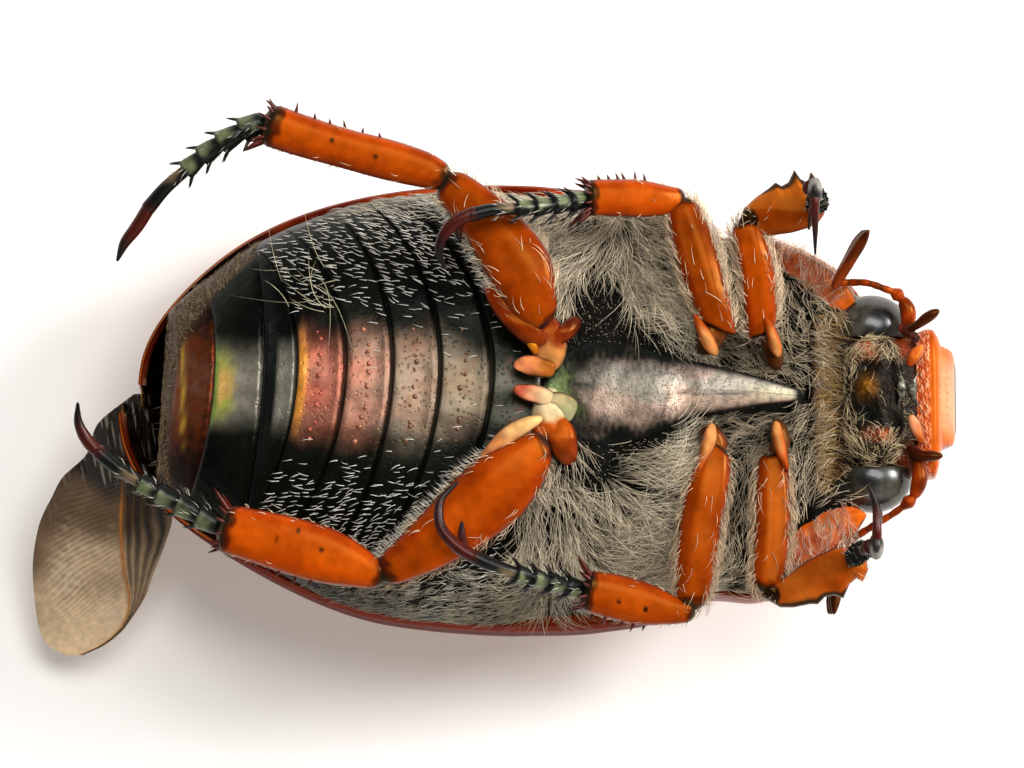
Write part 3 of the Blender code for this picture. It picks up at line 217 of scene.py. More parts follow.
def mesh_piece(name, points, faces, looks, tint, maps=None, replaces=()):
    """A smooth mesh from points in millimetres and arrays of faces, which rides on the body."""
    points = points.reshape(-1, 3)
    mesh = bpy.data.meshes.new(name)
    corners = np.concatenate([f.ravel() for f in faces]).astype(np.int32)
    sizes = np.concatenate([np.full(len(f), f.shape[1]) for f in faces])
    mesh.vertices.add(len(points))
    mesh.vertices.foreach_set("co", metres(points).astype(np.float32).ravel())
    mesh.loops.add(len(corners))
    mesh.loops.foreach_set("vertex_index", corners)
    mesh.polygons.add(len(sizes))
    mesh.polygons.foreach_set("loop_start", (np.cumsum(sizes) - sizes).astype(np.int32))
    mesh.update(calc_edges=True)
    for map_name, uv in (maps or {}).items():
        layer = mesh.uv_layers.new(name=map_name)
        layer.uv.foreach_set("vector", uv.reshape(-1, 2)[corners].astype(np.float32).ravel())
    rgba = np.ones((len(points), 4), np.float32)
    rgba[:, :3] = tint.reshape(-1, 3)
    mesh.color_attributes.new("tint", "FLOAT_COLOR", "POINT").data.foreach_set("color", rgba.ravel())
    mesh.shade_smooth()
    mesh.validate()
    piece = bpy.data.objects.new(name, mesh)
    bpy.context.scene.collection.objects.link(piece)
    mesh.materials.append(looks)
    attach(piece, "root")
    if replaces:
        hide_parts(*replaces)
    return piece


def rings_piece(name, grids, looks, tints, replaces=()):
    """One piece from several grids of points, each row of them a closed ring."""
    faces, first = [], 0
    for grid in grids:
        faces.append(grid_faces(*grid.shape[:2], closed=True) + first)
        first += grid.shape[0] * grid.shape[1]
    points = np.concatenate([grid.reshape(-1, 3) for grid in grids])
    tint = np.concatenate([np.broadcast_to(t, g.shape).reshape(-1, 3) for t, g in zip(tints, grids)])
    return mesh_piece(name, points, [np.concatenate(faces)], looks, tint, replaces=replaces)


def ring_piece(name, grid, looks, tint, replaces=()):
    """A piece from one grid of closed rings. tint is one colour or one for each point."""
    return rings_piece(name, [grid], looks, [tint], replaces)


def closed_ends(rings):
    """Rings of points with one more at each end, so small that it closes the skin."""
    ends = [mix(rings[k], rings[k].mean(0), 0.98)[None] for k in (0, -1)]
    return np.concatenate((ends[0], rings, ends[1]))


def distances(points):
    """How far each point of a path lies from its start, along the path."""
    return np.concatenate(((0,), np.cumsum(np.linalg.norm(np.diff(points, axis=0), axis=1))))


def signed_power(values, power):
    """Powers of the values' sizes, with the values' signs."""
    return np.sign(values) * np.abs(values) ** power


def normals_of(grid):
    """A unit normal for each point of a grid."""
    return unit(np.cross(np.gradient(grid, axis=1), np.gradient(grid, axis=0)))


# Materials

COAT_ROUGHNESS = 0.06
DENT_DEPTH = 0.05            # millimetres
GRAIN_SPAN = (0.3, 0.7)      # the values between which most of a noise lies
PIT_EDGE = (0.12, 0.34)      # from where to where a puncture's side rises, in shares of its cell


def ranged(tree, value, source=(0.0, 1.0), target=(0.0, 1.0), smooth=False):
    """A socket's value, mapped from one range to another."""
    node = tree.nodes.new("ShaderNodeMapRange")
    node.interpolation_type = "SMOOTHSTEP" if smooth else "LINEAR"
    for socket, number in zip(("From Min", "From Max", "To Min", "To Max"), (*source, *target)):
        node.inputs[socket].default_value = number
    tree.links.new(value, node.inputs["Value"])
    return node.outputs["Result"]


def scaled(tree, shade, factor):
    """A socket's colour times a factor."""
    node = tree.nodes.new("ShaderNodeVectorMath")
    node.operation = "SCALE"
    tree.links.new(shade, node.inputs[0])
    tree.links.new(factor, node.inputs["Scale"])
    return node.outputs["Vector"]


def added(tree, first, second):
    """The sum of two sockets."""
    node = tree.nodes.new("ShaderNodeMath")
    node.operation = "ADD"
    tree.links.new(first, node.inputs[0])
    tree.links.new(second, node.inputs[1])
    return node.outputs["Value"]


def punctures(tree, place, apart):
    """0 in the middle of round punctures and 1 between them."""
    cells = tree.nodes.new("ShaderNodeTexVoronoi")
    cells.inputs["Scale"].default_value = 1 / (apart * MM)
    tree.links.new(place, cells.inputs["Vector"])
    return ranged(tree, cells.outputs["Distance"], PIT_EDGE, smooth=True)


def material(name, roughness, metallic=0.0, coat=0.0, grain=0.3, grain_size=0.4, pits=0.0, pit_size=0.12,
             bump=0.2, alpha=1.0, mirror=0.5, shine=(1.0, 1.0, 1.0)):
    """A coloured chitin. The tint attribute gives its colour, mottled by grain. pits is how dark its fine
    punctures are, which lie pit_size millimetres apart."""
    made = bpy.data.materials.new(name)
    made.use_nodes = True
    tree = made.node_tree
    shader = tree.nodes["Principled BSDF"]
    own = {"Metallic": metallic, "Coat Weight": coat, "Coat Roughness": COAT_ROUGHNESS,
           "Specular IOR Level": mirror, "Specular Tint": (*shine, 1), "Alpha": alpha}
    for socket, value in own.items():
        shader.inputs[socket].default_value = value
    place = tree.nodes.new("ShaderNodeTexCoord").outputs["Object"]
    tint = tree.nodes.new("ShaderNodeAttribute")
    tint.attribute_name = "tint"
    noise = tree.nodes.new("ShaderNodeTexNoise")
    noise.inputs["Scale"].default_value = 1 / (grain_size * MM)
    noise.inputs["Detail"].default_value = 5
    tree.links.new(place, noise.inputs["Vector"])
    height = noise.outputs["Fac"]
    rough = ranged(tree, height, target=(roughness * 0.8, min(1.0, roughness * 1.25)))
    base = scaled(tree, tint.outputs["Color"], ranged(tree, height, GRAIN_SPAN, (1 - grain, 1 + grain * 0.6)))
    if pits:
        hole = punctures(tree, place, pit_size)
        base = scaled(tree, base, ranged(tree, hole, target=(1 - pits, 1.0)))
        height = added(tree, height, hole)
    dents = tree.nodes.new("ShaderNodeBump")
    dents.inputs["Strength"].default_value = bump
    dents.inputs["Distance"].default_value = DENT_DEPTH * MM
    tree.links.new(height, dents.inputs["Height"])
    tree.links.new(base, shader.inputs["Base Color"])
    tree.links.new(rough, shader.inputs["Roughness"])
    tree.links.new(dents.outputs["Normal"], shader.inputs["Normal"])
    return made


AMBER = material("amber chitin", 0.3, grain=0.22, grain_size=0.35, bump=0.16, mirror=0.38,
                 shine=(1.0, 0.42, 0.06))
SHELLAC = material("wing case chitin", 0.3, coat=0.05, grain=0.2, grain_size=0.6, pits=0.45, pit_size=0.34,
                   bump=0.25, mirror=0.16, shine=(1.0, 0.5, 0.2))
RIM = material("wing case rim", 0.4, grain=0.25, grain_size=0.5, bump=0.15, mirror=0.03,
               shine=(1.0, 0.4, 0.1))
METAL = material("green metal chitin", 0.34, metallic=0.5, grain=0.25, grain_size=0.3, pits=0.22,
                 pit_size=0.16, bump=0.22, mirror=0.1)
POLISHED = material("polished plate", 0.5, metallic=0.4, grain=0.2, grain_size=0.14, pits=0.6, pit_size=0.075,
                    bump=0.6, mirror=0.2)
GROUND = material("ground under the wool", 0.55, metallic=0.1, grain=0.2, grain_size=0.3, pits=0.6,
                  pit_size=0.09, bump=0.4, mirror=0.04)
DARK = material("dark chitin", 0.33, metallic=0.15, grain=0.3, grain_size=0.2, bump=0.25, mirror=0.25)
ROUGH = material("rough dark chitin", 0.5, grain=0.45, grain_size=0.14, pits=0.7, pit_size=0.075, bump=0.9,
                 mirror=0.12)
EYE = material("eye", 0.25, coat=0.12, grain=0.7, grain_size=0.4, pits=0.25, pit_size=0.05, bump=0.12,
               mirror=0.55)
HAIR = material("hair", 0.5, grain=0.25, grain_size=0.15, bump=0.0, mirror=0.2)
MEMBRANE = material("wing membrane", 0.4, grain=0.2, grain_size=0.2, bump=0.3, alpha=0.88, mirror=0.3)

BLACK_GREEN = colour(17, 21, 15)
ORANGE = colour(166, 60, 3)
DEEP_ORANGE = colour(130, 38, 2)
RED_BROWN = colour(104, 28, 8)
DARK_BROWN = colour(34, 17, 10)
CARAMEL = colour(176, 118, 52)


# Hair and spines: many thin tapered stalks at once

TUFT_PATCH = 0.003           # how wide the patch of the OFBake map is that one stalk uses


def stalk_rings(roots, ways, length, radius, bend, segments, sides, thin):
    """The points of each stalk, ring by ring up to its tip, and each point's place on the stalk's patch."""
    steps = np.linspace(0, 1, segments + 1)
    guide = unit(np.cross(ways, np.where(np.abs(ways[:, 2:]) < 0.9, (0.0, 0.0, 1.0), (1.0, 0.0, 0.0))))
    rings, maps = [], []
    for s in steps[:-1]:
        middle = roots + length * (s * ways + s * s * bend)
        ahead = unit(ways + 2 * s * bend)
        side = unit(guide - ahead * (guide * ahead).sum(1, keepdims=True))
        over = np.cross(ahead, side)
        wide = radius * (1 - s) ** thin
        for k in range(sides):
            angle = 2 * math.pi * k / sides
            rings.append(middle + wide * (side * math.cos(angle) + over * math.sin(angle)))
            maps.append((k / sides - 0.5, s - 0.5))
    rings.append(roots + length * (ways + bend))
    maps.append((0.0, 0.5))
    return np.stack(rings, 1), np.array(maps)


def stalk_faces(count, segments, sides):
    """Triangles at the tips of all stalks, and quads between their rings."""
    per = segments * sides + 1
    first = (np.arange(count) * per)[:, None, None]
    here = np.arange(sides)
    after = (here + 1) % sides
    top = (segments - 1) * sides
    tips = np.stack((top + here, top + after, np.full(sides, per - 1)), -1)
    level = (np.arange(segments - 1) * sides)[:, None]
    quads = np.stack((level + here, level + after, level + sides + after, level + sides + here), -1)
    return [(tips + first).reshape(-1, 3), (quads.reshape(-1, 4) + first).reshape(-1, 4)]


def stalks(name, roots, ways, length, radius, looks, tint, uv=None, bend=None, segments=3, sides=3,
           thin=0.8, root_shade=1.0):
    """Stalks that start at roots, run along ways and curve towards bend, an added way at the tip.
    length, radius and tint are one value or one for each stalk."""
    count = len(roots)
    length = np.broadcast_to(np.asarray(length, float), count)[:, None]
    radius = np.broadcast_to(np.asarray(radius, float), count)[:, None]
    bend = np.zeros((count, 3)) if bend is None else bend
    points, maps = stalk_rings(roots, unit(ways), length, radius, bend, segments, sides, thin)
    rise = np.append(np.repeat(np.linspace(0, 1, segments + 1)[:-1], sides), 1.0)[None, :, None]
    colours = np.broadcast_to(tint, (count, 3))[:, None] * mix(root_shade, 1.0, np.minimum(1, rise * 2))
    layers = None if uv is None else {"OFBake": uv[:, None] + maps * TUFT_PATCH}
    return mesh_piece(name, points, stalk_faces(count, segments, sides), looks, colours, layers)


def scatter(grid, count, closed=False, keep=None):
    """Random places on a grid of points: place, normal, and position over the grid from 0 to 1 each way.
    keep gives the share of places kept for each cell of the grid."""
    g = np.concatenate((grid, grid[:, :1]), 1) if closed else grid
    a, b, c, d = g[:-1, :-1], g[:-1, 1:], g[1:, 1:], g[1:, :-1]
    area = np.linalg.norm(np.cross(c - a, d - b), axis=-1) / 2
    if keep is not None:
        area = area * keep((a + b + c + d) / 4)
    chance = area.ravel() / area.sum()
    cells = RNG.choice(len(chance), count, p=chance)
    r, k = np.unravel_index(cells, area.shape)
    s, t = RNG.random((2, count, 1))
    places = (a[r, k] * (1 - s) + d[r, k] * s) * (1 - t) + (b[r, k] * (1 - s) + c[r, k] * s) * t
    across, down = b[r, k] - a[r, k] + c[r, k] - d[r, k], d[r, k] - a[r, k] + c[r, k] - b[r, k]
    normals = unit(np.cross(across, down))
    uv = np.stack(((k + t[:, 0]) / area.shape[1], (r + s[:, 0]) / area.shape[0]), -1)
    return places, normals, uv * 0.98 + 0.01


COMB_POWER = 3               # how fast a comb stroke's share falls with the distance
COMB_BLUR = 0.02


def combed(places, strokes):
    """The lie of the hair at places: the mean of the nearest comb strokes (x, y, way x, way y)."""
    table = np.array(strokes, float)
    away = np.linalg.norm(places[:, None, :2] - table[None, :, :2], axis=-1)
    weight = 1 / (away ** COMB_POWER + COMB_BLUR)
    ways = (weight[..., None] * unit(table[None, :, 2:])).sum(1)
    return unit(np.concatenate((ways, np.zeros((len(ways), 1))), 1))


def lie(ways, normals, lift):
    """Ways laid on the surface and lifted off it by an angle in degrees."""
    flat = unit(ways - normals * (ways * normals).sum(1, keepdims=True))
    angle = np.radians(lift)[:, None] if np.ndim(lift) else math.radians(lift)
    return flat * np.cos(angle) + normals * np.sin(angle)


LIFT_SPREAD = 0.3            # how much the angles of single hairs differ, as a share of their lift
DROOP = 0.7                  # how far a lifted hair's tip bends back to the skin
HAIR_LENGTHS = (0.6, 1.2)    # shares of the coat's length
HAIR_SHADES = (0.4, 1.2)     # shares of the coat's tint
LOCK_PULL = 0.8              # how far a hair's tip is drawn to the middle of its lock, as a share of the way
HAIRS_PER_LOCK = 14


def gathered(places):
    """The way from each place towards the middle of its lock of hair."""
    middles = places[:max(1, len(places) // HAIRS_PER_LOCK)]
    nearest = np.array([np.argmin(((middles - place) ** 2).sum(1)) for place in places])
    pull = middles[nearest] - places
    return pull * LOCK_PULL * fade(0.6, 0.3, np.linalg.norm(pull, axis=1))[:, None]


def coat(name, grid, count, ways, length, radius, lift, tint, keep=None, curl=0.25, closed=False, spread=0.25,
         slot="wool", outwards=None, segments=3, locks=0.0, root_shade=0.45):
    """Hair over a grid. ways is one way, or a function of the places, and lift an angle in degrees.
    outwards is a point inside the piece, for a grid whose normals may face in."""
    places, normals, uv = scatter(grid, count, closed, keep)
    facing = normals[:, 2:] if outwards is None else ((places - outwards) * normals).sum(1, keepdims=True)
    normals = normals * np.where(facing < 0, -1, 1)
    way = ways(places) if callable(ways) else np.broadcast_to(np.array(ways, float), places.shape)
    swing = (ripple(places, 0.5, 6) * 0.5 + ripple(places, 0.22, 7) * 0.35)[:, None] * locks
    way = way * np.cos(swing) + np.cross(normals, way) * np.sin(swing)
    way = unit(way + RNG.normal(size=places.shape) * spread)
    lifts = lift + RNG.normal(size=count) * lift * LIFT_SPREAD
    start = lie(way, normals, lifts)
    down = -normals * np.sin(np.radians(lifts))[:, None] * DROOP
    sideways = ripple(places, 1.1, 5)[:, None] * curl + RNG.normal(size=(count, 1)) * curl * 0.6
    bend = down + np.cross(normals, start) * sideways
    lengths = length * RNG.uniform(*HAIR_LENGTHS, count)
    if locks:
        bend = bend + gathered(places) / lengths[:, None]
    shades = tint * RNG.uniform(*HAIR_SHADES, (count, 1))
    return stalks(name, places - normals * radius, start, lengths, radius, HAIR, shades, uv, bend,
                  segments, root_shade=root_shade)


# The shell of the back

def suture(x):
    """How far a wing case's inner edge lies from the middle, beside the scutellum and behind it."""
    return 0.02 + 0.52 * np.maximum(0, x - 3.5)


CASE_THICK = 0.17
PRONOTUM_THICK = 0.2
SCUTELLUM_THICK = 0.2
CASE_ROWS, CASE_COLUMNS = 220, 150
STRIAE = 13                  # punctured lines from rim to suture
PIT_STEP = 0.3
LEFT_TAPER = 0.12
SHELF_COLUMNS = 7
SHELF_DOME = 0.07
RIM_COLUMNS = 62             # columns of the outer face, from its edge inwards, that have the rim's look
CASE_SHELF = (  # x, and how far the rim of a wing case turns in
    (-10.9, 0.1), (-7.0, 0.25), (-2.5, 0.4), (-0.5, 0.65), (1.5, 0.8), (4.0, 0.8), (5.5, 0.4),
)


def shelf(rim, lip):
    """Columns of the turned-in rim of a wing case, from its inner lip out to its edge, a little domed."""
    share = np.linspace(0, 1, SHELF_COLUMNS + 2)[None, 1:-1, None]
    columns = mix(lip[:, None], rim[:, None], share)
    columns[..., 2] += SHELF_DOME * np.sin(share[..., 0] * math.pi)
    return columns


def case_tint(x, turn, pit, groove):
    """Caramel with darker punctures and grooves, red-brown and then nearly black towards the rim."""
    tint = blend(CARAMEL, colour(112, 70, 30), 0.75 * pit + 0.15 * groove)
    tint = blend(tint, colour(120, 34, 6), fade(0.4, 0.22, turn))
    tint = blend(tint, colour(84, 14, 3), fade(0.17, 0.11, turn) * fade(0.03, 0.06, turn))
    tint = blend(tint, DARK_BROWN, 0.6 * fade(0.985, 1.0, turn))
    tip = fade(-7.0, -9.0, x)
    tint = blend(tint, colour(40, 12, 5), tip * fade(0.12, 0.06, turn) * fade(0.012, 0.025, turn))
    return blend(tint, colour(176, 84, 22), tip * fade(0.016, 0.008, turn))


def case_placed(rings, side):
    """A wing case's rings on their side of the body: the left one is narrower behind and a little open."""
    if side < 0:
        rings = rings * (1, -1, 1)
        rings[..., 1] *= 1 - LEFT_TAPER * fade(-3.0, -9.5, rings[..., 0])
        pivot = np.array((SHOULDER, -HINGE, 0))
        rings = (rings - pivot) * (LEFT_STRETCH, 1, 1) @ turn_matrix("Z", LEFT_OPEN).T + pivot
    else:
        rings[..., 0] -= 0.35 * fade(4.5, 1.0, rings[..., 1]) * fade(-7.5, -10.9, rings[..., 0])
        rings[..., 1] -= 0.3 * fade(0.7, 0.0, rings[..., 1]) * fade(0.0, -10.5, rings[..., 0])
    rings = turned(rings)
    lowest = np.where(np.arange(rings.shape[1]) < CASE_COLUMNS, 0.0, CASE_THICK)
    rings[..., 2] = np.maximum(rings[..., 2], lowest)
    return rings


def elytron(name, side):
    """A wing case: its outer face, its thin inner face, painted nearly black as shade, and a bead along its
    rim.
    """
    part = np.sin(np.linspace(0, math.pi / 2, CASE_ROWS))
    x = mix(SHOULDER + 0.1, WIDEST - REAR + 0.01, part)[:, None]
    x, turn = np.broadcast_arrays(x, np.linspace(0, 1, CASE_COLUMNS)[None, :] ** 1.2)
    outer = shell_point(x, turn)
    out = normals_of(outer)
    out = out * np.where((out * (outer - (0, 0, 5))).sum(-1, keepdims=True) < 0, -1, 1)
    inner = outer - out * CASE_THICK * fade(-0.02, 0.06, turn)[..., None]
    bead = 0.09 * fade(0.045, 0.0, np.abs(turn - 0.03))
    lane = np.abs((turn * STRIAE) % 1 - 0.5)
    step = np.abs((x / PIT_STEP) % 1 - 0.5)
    pit = fade(1.0, 0.3, np.hypot(lane / 0.12, step / 0.3)) * fade(0.12, 0.2, turn)
    groove = np.exp(-(lane / 0.1) ** 2) * fade(0.12, 0.2, turn)
    outer = outer + out * (bead - 0.02 * groove - 0.03 * pit)[..., None]
    for face in (outer, inner):
        face[..., 1] = np.maximum(face[..., 1], suture(x))
    inner[:, 0] = outer[:, 0]
    inner[:, 0, 1] -= along(CASE_SHELF, x[:, 0])
    ledge = shelf(outer[:, 0], inner[:, 0])
    # The inner face is painted nearly black as shade inside the shell, and the turned-in rim darkens towards
    # the tail as painted shade in the gap there.
    inside = blend(DARK_BROWN * 0.25, colour(96, 26, 8), fade(0.05, 0.0, turn))
    ledge_tint = blend(colour(84, 16, 4), colour(156, 56, 14), fade(-0.3, 0.8, ripple(ledge, 1.2, 91)))
    ledge_tint = blend(ledge_tint, colour(16, 8, 5), fade(-6.5, -8.5, ledge[..., 0]))
    tints = np.concatenate((case_tint(x, turn, pit, groove), inside[:, ::-1], ledge_tint), 1)
    rings = case_placed(np.concatenate((outer, inner[:, ::-1], ledge), 1), side)
    piece = ring_piece(name, rings, SHELLAC, tints, (name,))
    piece.data.materials.append(RIM)
    column = grid_faces(*rings.shape[:2], closed=True)[:, 0] % rings.shape[1]
    at_rim = (column < RIM_COLUMNS) | (column >= 2 * CASE_COLUMNS - 1)
    piece.data.polygons.foreach_set("material_index", at_rim.astype(np.int32))


def pronotum():
    """The shield behind the head, with its turned-in rim."""
    turn = np.linspace(0, 1, 60)[None, :]
    part = np.array((0, 0.015, *np.linspace(0.04, 0.96, 40), 0.985, 1))[:, None]
    x = mix(SHOULDER + 0.16, mix(10.38, NECK + 0.1, arch(1 - turn, 2.5)), part)
    turn, part = np.broadcast_to(turn, x.shape), np.broadcast_to(part, x.shape)
    edge = np.minimum(part, 1 - part)
    angle = turn * math.pi / 2
    inwards = np.stack((np.zeros_like(x), np.cos(angle), -np.sin(angle)), -1)
    outer = shell_point(x, turn)
    inner = outer - inwards * PRONOTUM_THICK
    outer = outer + inwards * (0.03 * fade(0.06, 0.02, edge) - 0.05 * fade(0.02, 0.0, edge))[..., None]
    right = np.concatenate((inner[:, ::-1], outer), 1)
    right[..., 1] = np.maximum(right[..., 1], 0)
    left = right[:, ::-1] * (1, -1, 1)
    tone = blend(colour(168, 92, 34), RED_BROWN * 1.4, fade(0.35, 0.0, turn))
    dark = np.broadcast_to(DEEP_ORANGE * 0.5, tone.shape)
    tint = np.concatenate((dark, tone), 1)
    grid = turned(np.concatenate((right, left), 1))
    tints = np.concatenate((tint, tint[:, ::-1]), 1)
    ring_piece("pronotum_shield", grid, SHELLAC, tints, ("pronotum",))


def scutellum():
    """The small triangle between the roots of the wing cases."""
    x = np.linspace(SHOULDER + 0.05, 3.6, 24)[:, None]
    y = np.maximum(0.02, suture(x)) * np.linspace(1, -1, 25)[None, :]
    z = along(KEEL_FRONT, x) + 0.1 * y * y + 0.02
    top = np.stack((np.broadcast_to(x, y.shape), y, z), -1)
    grid = turned(np.concatenate((top, (top + (0, 0, SCUTELLUM_THICK))[:, ::-1]), 1))
    grid[..., 2] = np.maximum(grid[..., 2], 0)
    ring_piece("scutellum_plate", grid, SHELLAC, colour(150, 84, 32), ("scutellum",))


# The belly

HALF = 70                    # columns from the midline to a side
BELLY_INSET = 0.14           # how far inside the rim the belly's skin ends
BELLY_ARCH = 2.15
UNDERSIDE_INSET = 0.45       # how far above the back's skin the belly's underside ends
LEDGE = 0.12                 # how much more of the left wing case's rim shows beside the breast
TAIL = 7                     # the number of the tail plate, which follows the seven belly plates
TAIL_START = -9.0
TAIL_STRETCH = 0.41
TAIL_RISE = 0.02             # how high its end lies over the belly
TAIL_ROWS = 14
PLATES = (  # x of the rear edge at the midline, and how far it sweeps back; the first row is the front end
    (0.9, 0.05), (-0.6, 0.105), (-2.16, 0.08), (-3.6, 0.068), (-5.01, 0.07), (-6.48, 0.058), (-7.5, 0.02),
    (-9.0, 0.03), (-9.85, 0.03),
)
PLATE_RISE = (  # places on a plate from its front edge to its rear one, and how high it is there
    (0.0, -0.07), (0.03, -0.06), (0.07, 0.0), (0.3, 0.03), (0.8, 0.1), (0.93, 0.12), (0.98, 0.09), (1, -0.02),
)
PLATE_STEPS = np.array((
    0, 0.015, 0.03, 0.05, 0.08, 0.13, 0.2, 0.3, 0.42, 0.54, 0.66, 0.76, 0.84, 0.9, 0.94, 0.965, 0.985,
))
PAINTED_SHEEN = np.array((  # colour of the painted sheen, a bright band along the midline, plate by plate
    colour(20, 22, 16), colour(112, 94, 74), colour(128, 100, 80), colour(166, 108, 86), colour(184, 100, 78),
    colour(146, 142, 128), colour(164, 156, 140), colour(112, 46, 14),
))
TUBERCLE_PLATES = (1, 2, 3, 4)
TUBERCLE_ROW = 0.5           # where the row of tubercles lies on each of these plates
TUBERCLES = 11


def lean(x):
    """How far the belly's highest line lies to the right of the middle."""
    return 0.2 + 0.03 * np.maximum(0, -x)


def belly_rows(x, bow, raised, forward=None):
    """Rows of the belly side from right to left, and of the skin under the shell. bow says how far
    each row sweeps back at the sides, and forward how far its sides reach ahead."""
    x, bow, raised = (np.asarray(v, float)[:, None] for v in (x, bow, raised))
    t = np.sin(np.linspace(math.pi / 2, -math.pi / 2, 2 * HALF - 1))[None, :]
    sweep = bow * np.minimum(rim_width(x, BELLY_INSET), 5.6) ** 2
    here = x - sweep * t * t
    if forward is not None:
        here = here + forward[:, None] * fade(0.56, 0.7, np.abs(t))
    wide = np.maximum(0.03, rim_width(here, BELLY_INSET))
    wide = wide - np.where(t > 0, 0.16 * np.exp(-((here - 0.3) / 1.2) ** 2) + 0.06, 0.0)
    middle = lean(here) * np.clip(wide / 2.5, 0, 1)
    left = -wide - 0.3 * fade(2.0, -3.0, here) * fade(-8.5, -4.5, here)
    left = left + LEDGE * fade(-0.5, 2.0, here) * fade(5.6, 4.9, here)
    y = np.where(t > 0, mix(middle, wide, np.abs(t)), mix(middle, left, np.abs(t)))
    rise = belly_height(here) - rim_height(here) + raised
    top = turned(np.stack((here, y, rim_height(here) + rise * arch(t, BELLY_ARCH)), -1))
    depth = mix(0.82, 0.96, fade(6.5, 8.6, here)) * inner_depth(here, UNDERSIDE_INSET) * arch(t, BELLY_ARCH)
    low = turned(np.stack((here, y * 0.92, rim_height(here) - depth), -1))
    return top, low


def skin_piece(name, top, low, tint, painted_inner_shade, looks, replaces):
    """A piece from an upper and a lower grid, joined at the sides and closed at both ends; the lower grid,
    inside the shell, is painted dark as shade.
    """
    skin = closed_ends(np.concatenate((top, low[:, ::-1]), 1))
    tints = np.concatenate((tint, np.broadcast_to(painted_inner_shade, low.shape)), 1)
    ring_piece(name, skin, looks, np.concatenate((tints[:1], tints, tints[-1:])), replaces)


def plate_rows():
    """For each row of the belly: x at the midline, sweep, rise, number of its plate and place on it."""
    rows = []
    for number, (front, rear) in enumerate(zip(PLATES, PLATES[1:])):
        rise = along(PLATE_RISE, PLATE_STEPS) * (0.6 if number == TAIL else 1)
        x, bow = (mix(a, b, PLATE_STEPS) for a, b in zip(front, rear))
        rows.append((x, bow, rise, np.full(len(x), number), PLATE_STEPS))
    part = np.linspace(0, 1, TAIL_ROWS) ** 0.7
    x, bow = mix(PLATES[-1][0], WIDEST - BELLY_REAR - 0.02, part), mix(PLATES[-1][1], 0.0, part)
    rows.append((x, bow, np.full(TAIL_ROWS, TAIL_RISE), np.full(TAIL_ROWS, TAIL), part))
    return [np.concatenate(column) for column in zip(*rows)]


def abdomen():
    """The belly plates with grooves between them, and the tail plate that closes them."""
    x, bow, rise, plate, part = plate_rows()
    grid, low = belly_rows(x, bow, rise)
    for face in (grid, low):
        face[..., 0] += TAIL_STRETCH * np.minimum(0, face[..., 0] - TAIL_START)
    grid[..., 2] += ripple(grid, 0.5, 3) * 0.014 + ripple(grid, 1.4, 4) * 0.02 + ripple(grid, 0.2, 15) * 0.01
    tint = abdomen_tint(grid, plate, part)
    # The belly's skin inside the shell is painted dark as shade.
    skin_piece("abdomen_plates", grid, low, tint, DARK_BROWN * 0.4, METAL, ("abdomen", "pygidium"))
    tubercles(grid, plate, part)
    return grid, plate, part


def row_at(plate, part, number, share):
    """The row of the belly that lies at a share of a plate's length."""
    return int(np.argmin(np.abs(part - share) + 10 * (plate != number)))


def along_row(grid, values, row, y):
    """Three values at y, from those at the points of a row of the grid."""
    return [np.interp(y, grid[row, ::-1, 1], values[row, ::-1, axis]) for axis in range(3)]


def tubercles(grid, plate, part):
    """Small shiny knobs in one row across the bright part of each belly plate."""
    knobs, tints = [], []
    for number in TUBERCLE_PLATES:
        row = row_at(plate, part, number, TUBERCLE_ROW)
        for y in np.linspace(-1.7, 1.6, TUBERCLES) + RNG.normal(size=TUBERCLES) * 0.07:
            place = along_row(grid, grid, row, y)
            place[0] += RNG.normal() * 0.05
            size = RNG.uniform(0.045, 0.085)
            knobs.append(dome(place, (size, size * RNG.uniform(0.8, 1.4), 0.045), 8, 14))
            # The knobs on the band take its painted sheen.
            tints.append(blend(PAINTED_SHEEN[number], colour(110, 60, 40), 0.35))
    rings_piece("belly_tubercles", knobs, METAL, tints)


def abdomen_tint(grid, plate, part):
    """Nearly black plates with a painted sheen along the midline, a bright band that is lighter in each
    plate's middle.
    """
    y = grid[..., 1] + 0.04
    narrow = 1 + 0.5 * fade(-2.2, -0.7, grid[..., 0]) + 0.35 * fade(-6.3, -6.7, grid[..., 0])
    # The bright band is a painted sheen, and its lift in each plate's middle is painted light on the plate's
    # curve.
    band = fade(2.15, 0.55, np.abs(y + 0.05) * narrow + ripple(grid, 0.9, 11) * 0.18)
    band = band * (0.72 + 0.28 * np.sin(part * math.pi))[:, None]
    base = blend(colour(9, 11, 7), colour(20, 23, 15), 0.5 + 0.5 * ripple(grid, 1.6, 12))
    cool = blend(PAINTED_SHEEN[plate][:, None], colour(120, 116, 100), 0.25 * (1 + ripple(grid, 0.8, 13)))
    tint = blend(base, cool, band)
    row = np.cos(np.clip((part[:, None] - 0.55) / 0.3, -1, 1) * math.pi / 2)
    wart = fade(0.55, 0.95, ripple(grid, 0.2, 15)) * row * (plate < 5)[:, None] * band
    tint = blend(tint, colour(96, 52, 34), 0.6 * wart)
    rear = np.broadcast_to(part[:, None], y.shape)
    # Painted gold and green glints at the rear of the last plates.
    tint = painted_rear_glints(tint, grid, y, rear, plate, band)
    return tail_tint(tint, grid, y, rear, plate)


